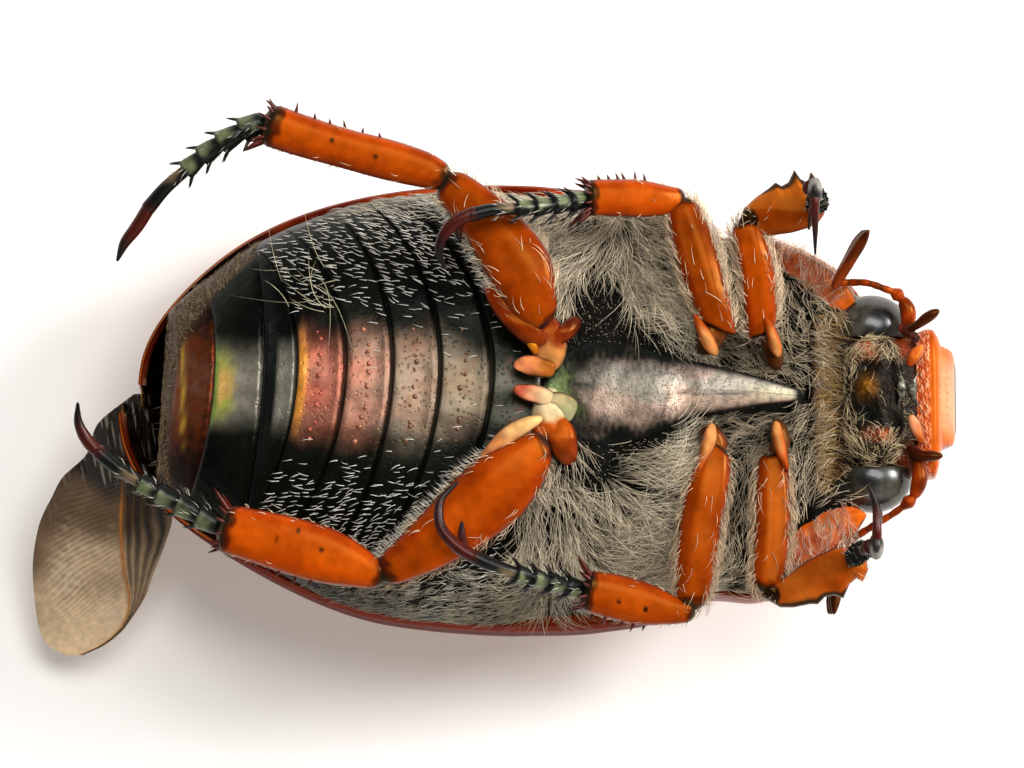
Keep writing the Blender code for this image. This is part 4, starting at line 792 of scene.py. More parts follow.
def painted_rear_glints(tint, grid, y, rear, plate, band):
    """The tint with painted gold and green glints at the rear of the last three belly plates, and black at
    the rear of the fifth.
    """
    fourth, fifth, last = ((plate == number)[:, None] for number in (4, 5, 6))
    tint = blend(tint, colour(226, 150, 52), band * fourth * fade(0.72, 0.9, rear))
    tint = blend(tint, colour(20, 24, 20), fifth * fade(0.5, 0.66, rear))
    ragged = 0.16 * ripple(grid, 0.35, 16)
    off = np.abs(y) + ragged
    # A painted glint on the last plate: yellow-green round an orange-gold middle, and green at its rear edge.
    flash = last * fade(0.52, 0.78, rear + 0.5 * ragged)
    tint = blend(tint, colour(190, 196, 84), band * flash * mix(0.1, 1.0, fade(1.3, 0.7, off)))
    tint = blend(tint, colour(250, 196, 112), flash * fade(0.75, 0.2, off) * fade(0.97, 0.84, rear))
    return blend(tint, colour(84, 140, 44), band * last * fade(0.88, 0.97, rear))


def tail_tint(tint, grid, y, rear, plate):
    """The tint with the red-brown tail plate, its bright line, and the dark grooves of the belly plates, dark
    seams widened by painted shade.
    """
    tail = (plate == TAIL)[:, None]
    tint = blend(tint, colour(104, 44, 12), tail * (0.6 + 0.4 * ripple(grid, 0.2, 14)))
    # The grooves are dark seams, widened by painted shade where each plate curves down to them.
    groove = fade(0.09, 0.01, rear) + fade(0.96, 0.99, rear)
    tint = blend(tint, colour(8, 10, 7), np.clip(groove, 0, 1) * 0.95 * (plate < TAIL)[:, None])
    tint = blend(tint, colour(12, 9, 6), tail * fade(1.0, 2.4, np.abs(y)) * 0.9)
    line = np.exp(-((grid[..., 0] + 9.93) / 0.05) ** 2) * fade(2.2, 1.0, np.abs(y))
    tint = blend(tint, colour(190, 150, 52), tail * line)
    ridge = (plate > 4)[:, None] * fade(5.6, 5.4, grid[..., 2]) * fade(-7.4, -8.2, grid[..., 0])
    return blend(tint, colour(66, 46, 30), ridge)


def thorax():
    """Everything between the belly plates and the head: one skin, woolly at the sides."""
    x = np.concatenate((np.linspace(0.2, 5.2, 90), np.linspace(5.26, 6.0, 26), np.linspace(6.05, NECK, 60)))
    bow, raised = 0.05 * fade(3.5, 0.0, x), -0.15 * fade(1.1, 0.7, x)
    grid, low = belly_rows(x, bow, raised, forward=fade(NECK - 1.4, NECK, x))
    front = fade(5.5, 5.8, x)[:, None]
    side = np.abs(grid[..., 1] + 0.45)
    x = grid[..., 0]
    fold = 0.16 * np.exp(-((x - 9.05) / 0.16) ** 2) + 0.12 * np.exp(-((x - 8.45) / 0.14) ** 2)
    grid[..., 2] += front * fold * fade(4.2, 3.2, side) + ripple(grid, 1.0, 21) * 0.03
    plain = polished_area(grid)
    raised_plate = fade(0.0, 1.0, plain) * fade(1.0, 3.6, x)
    grid[..., 2] += 0.4 * raised_plate + 0.02 * ripple(grid, 0.3, 24) * (1 - raised_plate)
    tint = thorax_tint(grid, front, side, plain)
    # The breast's skin inside the shell is painted dark as shade.
    skin_piece("thorax_skin", grid, low, tint, DARK_BROWN * 0.5, GROUND, ("metathorax", "prosternum"))
    return grid


def thorax_tint(grid, front, side, plain):
    """Nearly black under the wool, with a painted green glint on the breast, orange at the front's sides and
    brown at the neck.
    """
    tint = blend(colour(17, 14, 8), colour(6, 7, 4), 0.5 + 0.5 * ripple(grid, 0.5, 22))
    tint = blend(tint, colour(8, 11, 6), fade(0.0, 0.4, plain))
    x = grid[..., 0]
    # A painted green glint across the breast, in front of the hind legs' roots.
    green = np.exp(-((x - 1.7) / 0.35) ** 2) * fade(1.2, 0.3, np.abs(grid[..., 1]))
    tint = blend(tint, colour(70, 110, 40), 0.8 * green)
    margin = front * fade(4.3, 4.9, side + 0.99 * fade(8.6, 10.2, x)) * fade(7.6, 8.2, x)
    tint = blend(tint, colour(176, 84, 44), margin)
    return blend(tint, colour(96, 62, 28), fade(9.0, 9.35, x) * fade(2.6, 1.8, side))


BARE_RIGHT = ((0.9, 2.2), (1.9, 2.5), (2.7, 2.6), (3.9, 1.8), (5.3, 1.2))  # x, and y where the wool begins
BARE_LEFT = ((0.9, -1.9), (1.9, -1.8), (2.7, -2.1), (3.9, -2.0), (5.0, -1.3))
PLAIN_HALF = ((0.9, 0.2), (1.7, 0.4), (2.5, 0.85), (3.6, 1.0), (5.2, 0.75), (6.5, 0.5))


def polished_area(points):
    """1 on the bare polished plate of the breast, falling to 0 where the wool begins."""
    x, y = points[..., 0], points[..., 1] + 0.22
    off = np.abs(y) - along(PLAIN_HALF, x)
    return fade(0.75, -0.35, off) * fade(0.9, 1.6, x) * fade(5.9, 5.4, x)


MARGINS = {  # x, y and half width of the pronotum's turned-in edge beside the head
    "right": ((7.5, 4.2, 0.14), (8.2, 3.82, 0.34), (8.9, 3.3, 0.5), (9.5, 2.85, 0.54), (10.0, 2.5, 0.42),
              (10.35, 2.3, 0.2)),
    "left": (
        (8.0, -5.35, 0.26), (8.7, -4.95, 0.5), (9.3, -4.55, 0.6), (9.9, -4.22, 0.56), (10.35, -4.02, 0.36),
        (10.62, -3.95, 0.18),
    ),
}
MARGIN_RISE = 0.12           # how far the middle of the edge lies over the breast's skin
MARGIN_THICK = 0.26


def margins(breast):
    """The glossy orange edges of the pronotum that show on both sides of the head."""
    cells = breast.reshape(-1, 3)
    for side, table in MARGINS.items():
        stations = []
        for x, y, wide in table:
            nearest = np.argmin(np.hypot(cells[:, 0] - x, cells[:, 1] - y))
            stations.append((x, y, cells[nearest, 2] + MARGIN_RISE, wide, MARGIN_THICK))
        grid, part, around = limb(stations, 90, 32, power=0.8, start=0.1, end=0.05, caps=0.15)
        grid[..., 2] += 0.02 * ripple(grid, 0.2, 92)
        streaks = 0.5 + 0.3 * ripple(grid, 0.35, 47) + 0.3 * ripple(grid * (1.0, 0.4, 1.0), 0.08, 90)
        tint = blend(colour(184, 96, 58), colour(138, 54, 24), np.clip(streaks, 0, 1))
        outer = np.cos(around) * (-1 if side == "left" else 1)
        tint = blend(tint, colour(200, 84, 10), fade(0.5, 0.9, -outer))
        tint = blend(tint, colour(206, 88, 12), fade(0.78, 0.95, part))
        tint = blend(tint, colour(90, 44, 26), fade(0.6, 0.95, outer))
        ring_piece("pronotum_edge_" + side, grid, AMBER, tint)
        way = (0.3, 1.0, 0.0) if side == "right" else (0.1, -1.0, 0.0)
        coat("hair_edge_" + side, grid[:72], 480, way, 0.6, 0.0125, 24, colour(244, 206, 178), closed=True,
             outwards=tuple(grid[45].mean(0) - (0, 0, 0.5)), spread=0.22, slot="orange", locks=0.5, curl=0.4)


PROCESS = (  # x, then y of the middle line, half width and half thickness
    (0.95, (-0.22, 0.3, 0.1)), (1.3, (-0.22, 1.0, 0.1)), (1.9, (-0.24, 1.5, 0.1)),
    (2.8, (-0.3, 1.72, 0.12)), (3.8, (-0.3, 1.55, 0.15)), (4.7, (-0.22, 1.15, 0.25)),
    (5.35, (-0.18, 0.9, 0.45)), (5.9, (-0.18, 0.77, 0.5)), (6.8, (-0.2, 0.58, 0.46)),
    (7.7, (-0.25, 0.37, 0.36)), (8.35, (-0.31, 0.22, 0.24)), (8.63, (-0.33, 0.13, 0.15)),
    (8.76, (-0.34, 0.02, 0.03)),
)
PROCESS_TOP = ((4.6, 9.02), (5.3, 9.2), (6.6, 9.28), (7.6, 9.18), (8.3, 9.0), (8.76, 8.78))
PROCESS_ROWS, PROCESS_COLUMNS = 190, 41
DRAPE = 0.03                 # how far the plate lies over the breast's skin


def draped(skin, x, y):
    """Heights of a skin's grid at places x, y, row by row."""
    rows = np.array([np.interp(y.ravel(), row[::-1, 1], row[::-1, 2]) for row in skin])
    at_x = skin[:, skin.shape[1] // 2, 0]
    r = np.clip(np.searchsorted(at_x, x.ravel()) - 1, 0, len(at_x) - 2)
    t = np.clip((x.ravel() - at_x[r]) / (at_x[r + 1] - at_x[r]), 0, 1)
    cells = np.arange(x.size)
    return mix(rows[r, cells], rows[r + 1, cells], t).reshape(x.shape)


def process(breast):
    """The polished plate of the breast, which runs forward as a blade over the front legs' roots."""
    part = np.linspace(0, 1, PROCESS_ROWS)
    x = mix(PROCESS[0][0], PROCESS[-1][0], mix(part, np.sin(part * math.pi / 2), 0.5))
    y, wide, thick = along(PROCESS, x).T
    off = np.sin(np.linspace(math.pi / 2, -math.pi / 2, PROCESS_COLUMNS))
    off = np.broadcast_to(off[None, :], (PROCESS_ROWS, PROCESS_COLUMNS))
    x, y, wide, thick = (np.broadcast_to(v[:, None], off.shape) for v in (x, y, wide, thick))
    across = y + wide * off
    lying = draped(breast, x, across) + mix(DRAPE, -0.05, fade(0.85, 1.0, np.abs(off)))
    standing = along(PROCESS_TOP, x) - thick * (1 - np.sqrt(np.clip(1.01 - off ** 2, 0, 1)))
    up = mix(lying, standing, fade(4.4, 5.6, x))
    up = np.maximum(up, np.where(x < 5.35, lying, 0))
    up = up + 0.05 * np.exp(-((off - 0.05) / 0.12) ** 2) * fade(3.0, 6.0, x)
    top = np.stack((x, across, up), -1)
    low = np.stack((x, across, up - 2 * thick * np.sqrt(np.clip(1.02 - off ** 2, 0, 1))), -1)
    grid = np.concatenate((top, low[:, ::-1]), 1)
    tint = process_tint(x, across, off)
    # The underside is painted dark, as shade under the blade.
    tints = np.concatenate((tint, tint[:, ::-1] * 0.3), 1)
    ring_piece("breast_process", grid, POLISHED, tints)


def process_tint(x, y, off):
    """Grey silver above the midline and pale pink below it, partly painted sheen, with painted glints;
    black-green at the edges, partly painted shade, and at the tip.
    """
    place = np.stack((x, y, 0 * x), -1)
    lower = fade(0.15, -0.3, off + 0.2 * ripple(place, 0.7, 31))
    tint = blend(colour(176, 166, 150), colour(200, 170, 148), lower)
    tint = blend(tint, colour(214, 170, 154), 0.5 * fade(0.1, 0.9, ripple(place, 0.9, 37)))
    # A painted cream glint towards the front.
    tint = blend(tint, colour(214, 206, 168), 0.7 * fade(6.6, 7.9, x) * fade(0.7, 0.3, np.abs(off)))
    tint = blend(tint, colour(84, 84, 76), 0.4 * fade(-0.1, 0.8, ripple(place, 0.22, 32)))
    ragged = x + 0.25 * ripple(place, 0.35, 33)
    fine = ripple(place, 0.12, 96)
    tint = blend(tint, colour(20, 28, 16), 0.85 * fade(2.6, 1.9, ragged + 0.1 * fine))
    # A painted green glint near the rear end.
    near = fade(2.0, 1.6, ragged + 0.15 * fine) * fade(1.25, 0.9, np.abs(y + 0.4))
    tint = blend(tint, colour(128, 150, 92), 0.75 * near)
    # Dark towards the edges: partly the plate's dark rim, partly painted shade where it curves away.
    soft = fade(0.8, 0.2, np.abs(off) + 0.14 * ripple(place, 0.4, 35) + 0.06 * fine + 0.1 * fade(2.4, 1.2, x))
    crisp = fade(0.95, 0.6, np.abs(off))
    tint = blend(colour(9, 12, 7), tint, mix(soft, crisp, fade(4.6, 6.2, x)))
    notch = np.exp(-((x - 2.05) / 0.3) ** 2 - ((y + 0.02) / 0.1) ** 2)
    middle = np.exp(-((y + 0.28 + 0.04 * ripple(place, 0.8, 36)) / 0.025) ** 2)
    line = middle * fade(7.4, 6.6, x) * fade(2.6, 3.4, x)
    seam = np.exp(-((x - 4.7 - 0.35 * off) / 0.03) ** 2) * fade(0.5, 0.3, np.abs(off + 0.2))
    tint = blend(tint, colour(30, 30, 24), np.clip(0.6 * line + 0.6 * seam + 0.9 * notch, 0, 1))
    return blend(tint, colour(10, 11, 8), fade(8.35, 8.6, x))


# Limbs

def limb(stations, rings=60, sides=28, power=0.85, start=0.0, end=0.0, shape=None, caps=0.12, slant=0.0):
    """Rings of points along a smooth curve through stations of (x, y, z, half width, half thickness), and
    each point's share of the length and angle. The curve goes on by start and end beyond its stations.
    The ends are rounded over caps, a share of the length. shape scales the width along the limb, and
    slant cuts its first end aslant."""
    table = np.array(stations, float)
    first, last = unit(table[0, :3] - table[1, :3]), unit(table[-1, :3] - table[-2, :3])
    table[0, :3] += first * start
    table[-1, :3] += last * end
    steps = distances(table[:, :3])
    s = (1 - np.cos(np.linspace(0, math.pi, rings))) / 2
    s = s * 0.5 + np.linspace(0, 1, rings) * 0.5
    values = along(list(zip(steps / steps[-1], table)), s)
    centre, wide, thick = values[:, :3], values[:, 3], values[:, 4]
    near, far = caps if isinstance(caps, tuple) else (caps, caps)
    ends = np.clip(s / near, 0, 1), np.clip((1 - s) / far, 0, 1)
    close = np.sqrt(np.clip((1 - (1 - ends[0]) ** 2) * (1 - (1 - ends[1]) ** 2), 0, 1))
    scale = np.maximum(close * (shape(s) if shape else 1.0), 0.002)
    ahead = unit(np.gradient(centre, axis=0))
    across = unit(np.cross((0.0, 0.0, 1.0), ahead))
    over = unit(np.cross(ahead, across))
    angle = np.linspace(0, 2 * math.pi, sides, endpoint=False)
    c = signed_power(np.cos(angle), power)[None, :, None]
    sn = signed_power(np.sin(angle), power)[None, :, None]
    wide, thick = (wide * scale)[:, None, None], (thick * scale)[:, None, None]
    grid = centre[:, None] + across[:, None] * (c * wide) + over[:, None] * (sn * thick)
    grid = grid + ahead[:, None] * (c * wide * slant * fade(0.35, 0.0, s)[:, None, None])
    return grid, np.broadcast_to(s[:, None], grid.shape[:2]), np.broadcast_to(angle[None, :], grid.shape[:2])


LEGS = {
    "hind_right": {
        "coxa": ((1.15, 0.45, 9.2, 0.35, 0.25), (1.1, 1.2, 9.25, 0.55, 0.35), (1.0, 1.75, 9.3, 0.5, 0.38)),
        "femur": (
            (0.95, 2.05, 9.2, 0.42, 0.4), (0.62, 2.64, 9.3, 0.8, 0.5), (0.24, 3.48, 9.3, 0.96, 0.52),
            (-0.21, 4.17, 9.15, 0.93, 0.5), (-0.72, 4.86, 8.95, 0.82, 0.46), (-1.3, 5.45, 8.75, 0.68, 0.42),
            (-1.9, 5.98, 8.55, 0.5, 0.36),
        ),
        "tibia": (
            (-2.1, 6.2, 8.5, 0.36, 0.34), (-2.5, 6.38, 8.45, 0.52, 0.4), (-3.36, 6.63, 8.35, 0.6, 0.44),
            (-5.16, 7.11, 8.15, 0.6, 0.46), (-6.36, 7.47, 8.0, 0.63, 0.48), (-7.4, 7.83, 7.9, 0.66, 0.5),
        ),
        "tarsus": (
            (-7.7, 7.8, 7.9, 0.42, 0.42), (-8.4, 7.44, 7.8, 0.4, 0.38), (-9.12, 6.99, 7.6, 0.36, 0.34),
            (-9.78, 6.45, 7.4, 0.32, 0.32), (-10.41, 5.91, 7.2, 0.28, 0.28), (-10.95, 5.28, 7.0, 0.27, 0.27),
        ),
        "claw": ((-11.05, 5.12, 6.95, 0.26, 0.26), (-11.3, 4.72, 6.85, 0.25, 0.25),
                 (-11.66, 4.25, 6.7, 0.2, 0.2), (-11.9, 3.69, 6.5, 0.05, 0.05)),
        "second": (
            (-11.2, 4.9, 6.7, 0.22, 0.22), (-11.45, 4.6, 6.3, 0.18, 0.18), (-11.6, 4.2, 5.95, 0.05, 0.05),
        ),
    },
    "hind_left": {
        "coxa": ((1.15, -0.2, 9.25, 0.35, 0.25), (1.1, -0.95, 9.3, 0.55, 0.35), (1.0, -1.6, 9.35, 0.5, 0.38)),
        "femur": (
            (0.86, -1.9, 9.4, 0.42, 0.4), (0.3, -2.5, 9.42, 0.85, 0.5), (-0.4, -3.1, 9.42, 1.07, 0.52),
            (-1.11, -3.72, 9.3, 1.05, 0.52), (-1.8, -4.29, 9.3, 0.95, 0.5), (-2.52, -4.83, 9.25, 0.8, 0.46),
            (-3.21, -5.28, 9.2, 0.62, 0.42), (-3.8, -5.62, 9.15, 0.45, 0.36),
        ),
        "tibia": (
            (-4.05, -5.75, 9.1, 0.34, 0.34), (-4.6, -5.5, 9.1, 0.62, 0.42), (-5.46, -5.19, 9.0, 0.82, 0.46),
            (-6.36, -4.92, 8.9, 0.86, 0.48), (-7.56, -4.59, 8.7, 0.8, 0.5), (-8.7, -4.3, 8.5, 0.72, 0.5),
        ),
        "tarsus": (
            (-9.0, -4.15, 8.4, 0.42, 0.42), (-9.81, -3.69, 8.2, 0.4, 0.38), (-10.56, -3.3, 8.0, 0.36, 0.36),
            (-11.31, -2.85, 7.8, 0.33, 0.33), (-12.0, -2.4, 7.6, 0.3, 0.3), (-12.42, -2.04, 7.5, 0.28, 0.28),
        ),
        "claw": ((-12.53, -1.93, 7.48, 0.26, 0.26), (-12.8, -1.65, 7.5, 0.24, 0.24),
                 (-13.02, -1.2, 7.6, 0.18, 0.18), (-13.05, -0.54, 7.8, 0.05, 0.05)),
        "second": (
            (-12.7, -1.75, 7.3, 0.22, 0.22), (-12.95, -1.5, 6.95, 0.18, 0.18),
            (-13.0, -1.1, 6.6, 0.05, 0.05),
        ),
    },
    "middle_right": {
        "coxa": ((5.7, 1.0, 8.95, 0.3, 0.25), (5.9, 1.3, 8.9, 0.42, 0.33), (6.08, 1.65, 8.85, 0.4, 0.33)),
        "femur": (
            (6.15, 1.85, 8.75, 0.42, 0.38), (6.0, 2.35, 8.8, 0.55, 0.44), (5.76, 3.12, 8.75, 0.62, 0.46),
            (5.46, 4.17, 8.6, 0.63, 0.46), (5.2, 5.0, 8.45, 0.52, 0.42), (5.1, 5.3, 8.4, 0.42, 0.38),
        ),
        "tibia": (
            (4.9, 5.55, 8.4, 0.28, 0.28), (4.55, 5.52, 8.5, 0.46, 0.4), (3.84, 5.56, 8.7, 0.56, 0.42),
            (3.0, 5.58, 8.95, 0.56, 0.44), (2.28, 5.58, 9.15, 0.54, 0.45),
        ),
        "tarsus": (
            (2.0, 5.5, 9.3, 0.34, 0.34), (1.14, 5.34, 9.9, 0.32, 0.32), (0.24, 5.25, 10.2, 0.3, 0.3),
            (-0.66, 5.19, 10.3, 0.27, 0.27), (-1.2, 5.05, 10.3, 0.27, 0.27),
        ),
        "claw": (
            (-1.35, 5.0, 10.3, 0.26, 0.26), (-1.75, 4.8, 10.28, 0.25, 0.25), (-2.1, 4.35, 10.2, 0.2, 0.2),
            (-2.18, 3.9, 10.05, 0.15, 0.15), (-2.0, 3.45, 9.9, 0.05, 0.05),
        ),
        "second": (
            (-1.5, 4.95, 10.2, 0.2, 0.2), (-1.6, 4.65, 9.95, 0.17, 0.17), (-1.55, 4.2, 9.8, 0.05, 0.05),
        ),
    },
    "middle_left": {
        "coxa": ((5.75, -1.3, 9.0, 0.3, 0.25), (5.95, -1.6, 9.0, 0.42, 0.33), (6.08, -1.9, 9.0, 0.4, 0.33)),
        "femur": (
            (6.12, -2.1, 8.85, 0.42, 0.38), (6.03, -2.5, 8.95, 0.56, 0.44), (5.85, -3.18, 9.05, 0.63, 0.46),
            (5.64, -4.23, 9.1, 0.62, 0.46), (5.52, -5.28, 9.15, 0.62, 0.46), (5.42, -6.15, 9.15, 0.52, 0.42),
            (5.38, -6.5, 9.15, 0.42, 0.36),
        ),
        "tibia": (
            (5.2, -6.82, 9.15, 0.27, 0.27), (4.75, -6.76, 9.15, 0.46, 0.38), (3.84, -6.57, 9.2, 0.66, 0.44),
            (3.0, -6.36, 9.3, 0.68, 0.46), (2.2, -6.18, 9.4, 0.6, 0.46),
        ),
        "tarsus": (
            (1.88, -6.1, 9.5, 0.34, 0.34), (0.84, -5.85, 10.1, 0.33, 0.33), (-0.12, -5.58, 10.5, 0.3, 0.3),
            (-0.7, -5.36, 10.6, 0.28, 0.28), (-1.1, -5.17, 10.6, 0.27, 0.27),
        ),
        "claw": (
            (-1.24, -5.09, 10.6, 0.26, 0.26), (-1.7, -4.8, 10.6, 0.24, 0.24), (-2.15, -4.2, 10.5, 0.2, 0.2),
            (-2.15, -3.55, 10.4, 0.16, 0.16), (-1.6, -2.9, 10.3, 0.05, 0.05),
        ),
        "second": (
            (-1.4, -4.95, 10.5, 0.2, 0.2), (-1.5, -4.6, 10.3, 0.18, 0.18), (-1.5, -4.1, 10.2, 0.05, 0.05),
        ),
    },
    "front_right": {
        "coxa": ((7.95, 0.5, 7.95, 0.25, 0.25), (7.85, 0.95, 8.0, 0.3, 0.3), (7.75, 1.45, 8.05, 0.3, 0.3)),
        "femur": (
            (7.5, 1.75, 8.05, 0.4, 0.36), (7.47, 2.2, 8.1, 0.5, 0.42), (7.42, 3.0, 8.15, 0.52, 0.44),
            (7.28, 3.8, 8.2, 0.52, 0.44), (7.12, 4.4, 8.2, 0.48, 0.42), (7.05, 4.66, 8.2, 0.44, 0.4),
        ),
        "tibia": (
            (7.05, 4.92, 8.2, 0.28, 0.28), (7.4, 5.1, 8.3, 0.55, 0.36), (8.04, 5.25, 8.5, 0.74, 0.36),
            (8.64, 5.37, 8.7, 0.72, 0.36), (9.05, 5.44, 8.85, 0.6, 0.36),
        ),
        "tarsus": (
            (9.2, 5.36, 9.2, 0.3, 0.3), (9.32, 5.42, 10.0, 0.32, 0.32), (9.25, 5.6, 10.9, 0.3, 0.3),
            (9.1, 5.8, 11.7, 0.28, 0.28), (9.03, 5.85, 12.0, 0.28, 0.28),
        ),
        "claw": ((9.02, 5.8, 12.12, 0.26, 0.26), (9.02, 5.45, 12.25, 0.24, 0.24),
                 (9.03, 4.8, 12.1, 0.17, 0.17), (9.04, 3.85, 11.6, 0.05, 0.05)),
        "second": ((9.0, 5.3, 12.15, 0.2, 0.2), (8.9, 5.0, 11.8, 0.16, 0.16), (8.85, 4.6, 11.35, 0.05, 0.05)),
    },
    "front_left": {
        "coxa": ((7.95, -1.15, 7.95, 0.25, 0.25), (8.05, -1.6, 8.05, 0.3, 0.3), (7.98, -2.1, 8.15, 0.3, 0.3)),
        "femur": (
            (7.82, -2.4, 8.25, 0.4, 0.36), (7.81, -2.9, 8.35, 0.5, 0.42), (7.83, -3.78, 8.5, 0.54, 0.44),
            (7.78, -4.8, 8.65, 0.54, 0.44), (7.7, -5.6, 8.75, 0.5, 0.42), (7.64, -6.0, 8.8, 0.44, 0.4),
        ),
        "tibia": (
            (7.7, -6.33, 8.85, 0.28, 0.28), (8.19, -6.15, 8.95, 0.54, 0.36), (8.88, -5.88, 9.1, 0.7, 0.36),
            (9.6, -5.61, 9.3, 0.7, 0.36), (10.25, -5.36, 9.45, 0.56, 0.36),
        ),
        "tarsus": (
            (10.4, -5.2, 9.85, 0.3, 0.3), (10.5, -5.05, 10.5, 0.32, 0.32), (10.65, -4.95, 11.4, 0.3, 0.3),
            (10.8, -4.86, 12.1, 0.28, 0.28), (10.82, -4.84, 12.4, 0.28, 0.28),
        ),
        "claw": ((10.84, -4.78, 12.5, 0.26, 0.26), (10.86, -4.4, 12.65, 0.24, 0.24),
                 (10.82, -3.7, 12.5, 0.17, 0.17), (10.6, -3.0, 12.1, 0.05, 0.05)),
        "second": (
            (10.86, -4.3, 12.5, 0.2, 0.2), (10.95, -3.95, 12.1, 0.16, 0.16),
            (10.95, -3.55, 11.7, 0.05, 0.05),
        ),
    },
}
SLANT = {"middle_right": 0.8, "middle_left": 0.5, "front_right": -0.4, "hind_right": -0.3, "hind_left": 0.3}
TIBIA_BLADES = {  # outlines of the toothed front tibiae
    "front_right": (
        (6.8, 4.87), (6.96, 5.28), (7.31, 5.6), (7.68, 5.86), (7.9, 6.05), (8.09, 5.94), (8.28, 6.05),
        (8.46, 6.43), (8.65, 6.16), (8.84, 6.05), (8.96, 6.37), (9.18, 6.08), (9.35, 5.76), (9.38, 5.11),
        (9.2, 4.85), (8.84, 4.66), (8.37, 4.53), (7.71, 4.44), (7.31, 4.47), (6.95, 4.6),
    ),
    "front_left": (
        (7.5, -6.0), (7.9, -5.95), (8.28, -5.73), (8.72, -5.37), (9.12, -5.15), (9.65, -4.91),
        (10.05, -4.86), (10.4, -5.0), (10.62, -5.25), (10.67, -5.58), (10.5, -5.93), (10.32, -5.82),
        (10.11, -6.0), (9.93, -6.42), (9.65, -6.33), (9.38, -6.38), (9.17, -6.6), (8.93, -6.6),
        (8.45, -6.7), (8.04, -6.7), (7.77, -6.54), (7.5, -6.4),
    ),
}
# Painted shade on some femora, and painted light on some tibiae and painted shade on others, as the light
# falls on each leg.
FEMUR_PAINTED_SHADE = {"hind_right": 0.74, "middle_right": 0.66, "middle_left": 0.74, "front_left": 0.74}
TIBIA_PAINTED_LIGHT = {"hind_right": 1.05, "hind_left": 1.25, "middle_right": 1.05, "middle_left": 0.9}
COXA_SINK = {"hind_right": 0.62, "hind_left": 0.62}
COXA_COLOURS = {  # colours next to the midline and away from it
    "hind_right": (colour(196, 128, 66), colour(120, 38, 10)),
    "hind_left": (colour(206, 186, 142), colour(168, 70, 16)),
}
PUNCTURES = {  # dark pits on the tibiae
    "hind_left": ((-7.05, -4.65), (-5.7, -4.95), (-5.28, -4.23), (-6.4, -4.4)),
    "middle_left": ((3.2, -6.5), (4.0, -6.75)),
    "hind_right": ((-5.4, 7.3), (-4.1, 6.8)),
}
PUNCTURE = 0.075
BLADE_THICK = 0.33           # half the thickness of a front tibia
SPINE_PLACES = (0.42, 0.5, 0.57, 0.63, 0.7, 0.8)  # of the spines down a tibia's outer edge
END_PLACE = 0.93             # where the ring of spines at a tibia's end stands, and its spurs
END_SPINES = 14
SPURS = ((-0.5, 0.85), (0.4, 0.65))  # angle from the inner edge, and length
TARSUS_JOINTS = np.array((0, 0.17, 0.33, 0.48, 0.62, 1.0))
FOOT_SPINES = (0.2, -0.35, math.pi - 0.2, math.pi + 0.35)  # angles of the spines at each joint's end
FOOT_BACK = 0.16             # the front feet stand this far behind their claws' roots
FOOT_END = (0.23, 0.4, 0.3)  # half sizes of the joint that a front foot's claws spring from


def blade(outline, stations):
    """A domed plate of a given outline round the middle line of a limb's stations: its rings, and how far
    out each of them lies."""
    corners = np.array(outline + outline[:1], float)
    steps = distances(corners)
    spots = np.linspace(0, steps[-1], 240, endpoint=False)
    edge = np.stack([np.interp(spots, steps, corners[:, k]) for k in (0, 1)], -1)
    first, last = np.array(stations[0][:3]), np.array(stations[-1][:3])
    way = last - first
    part = np.clip(((edge - first[:2]) @ way[:2]) / (way[:2] @ way[:2]), 0.08, 0.92)
    middle = first + part[:, None] * way
    fall = np.linspace(0, math.pi, 40)
    radius = np.sin(fall)
    flat = middle[None, :, :2] + (edge - middle[:, :2])[None] * radius[:, None, None]
    up = middle[None, :, 2] + BLADE_THICK * signed_power(np.cos(fall), 0.8)[:, None]
    return np.concatenate((flat, up[..., None]), -1), np.broadcast_to(radius[:, None], up.shape)


def punctured(tint, grid, name):
    """The tint with the dark pits of this leg's tibia."""
    for x, y in PUNCTURES.get(name, ()):
        away = np.hypot(grid[..., 0] - x, grid[..., 1] - y)
        tint = blend(tint, DARK_BROWN * 0.5, fade(PUNCTURE * 1.4, PUNCTURE * 0.7, away))
    return tint


def leg_tint(grid, part, around, dark_start, dark_end, tone=1.0):
    """Glossy amber, lighter in the middle and red at the edges (partly painted light and shade), dark brown
    at the joints; tone above 1 is painted light, below 1 painted shade.
    """
    # Lighter along the middle and red towards the edges: partly the leg's red-brown rims, partly painted
    # light and shade across its curve.
    edge = np.abs(np.cos(around))
    tint = blend(ORANGE, DEEP_ORANGE, 0.4 + 0.4 * ripple(grid, 0.8, 41))
    tint = blend(tint, colour(184, 80, 6), 0.35 * fade(0.6, 0.0, edge))
    tint = blend(tint, RED_BROWN, 0.8 * fade(0.8, 1.0, edge)) * tone
    ragged = part + 0.015 * ripple(grid, 0.25, 46)
    tint = blend(tint, RED_BROWN * 0.5, fade(dark_start, dark_start * 0.6, ragged))
    tint = blend(tint, BLACK_GREEN, fade(dark_start * 0.7, dark_start * 0.3, ragged))
    tint = blend(tint, RED_BROWN * 0.5, fade(1 - dark_end, 1 - dark_end * 0.7, ragged))
    return blend(tint, BLACK_GREEN, fade(1 - dark_end * 0.7, 1 - dark_end * 0.4, ragged))


def spikes(name, spines, length, radius, tint):
    """Stiff spines, thicker and rounder than hair, from their roots and ways."""
    roots, ways = (np.array(column) for column in zip(*spines))
    return stalks(name, roots, ways, length, radius, DARK, tint, segments=4, sides=6, thin=0.7)


def at(grid, part, around):
    """A point on a limb's skin, the way out of it there and the way ahead. part is a share of the limb's
    rings and around an angle."""
    last = len(grid) - 1
    r = int(round(part * last))
    k = int(round(around / (2 * math.pi) * grid.shape[1])) % grid.shape[1]
    ahead = grid[min(r + 2, last)].mean(0) - grid[max(r - 2, 0)].mean(0)
    return grid[r, k], unit(grid[r, k] - grid[r].mean(0)), unit(ahead)


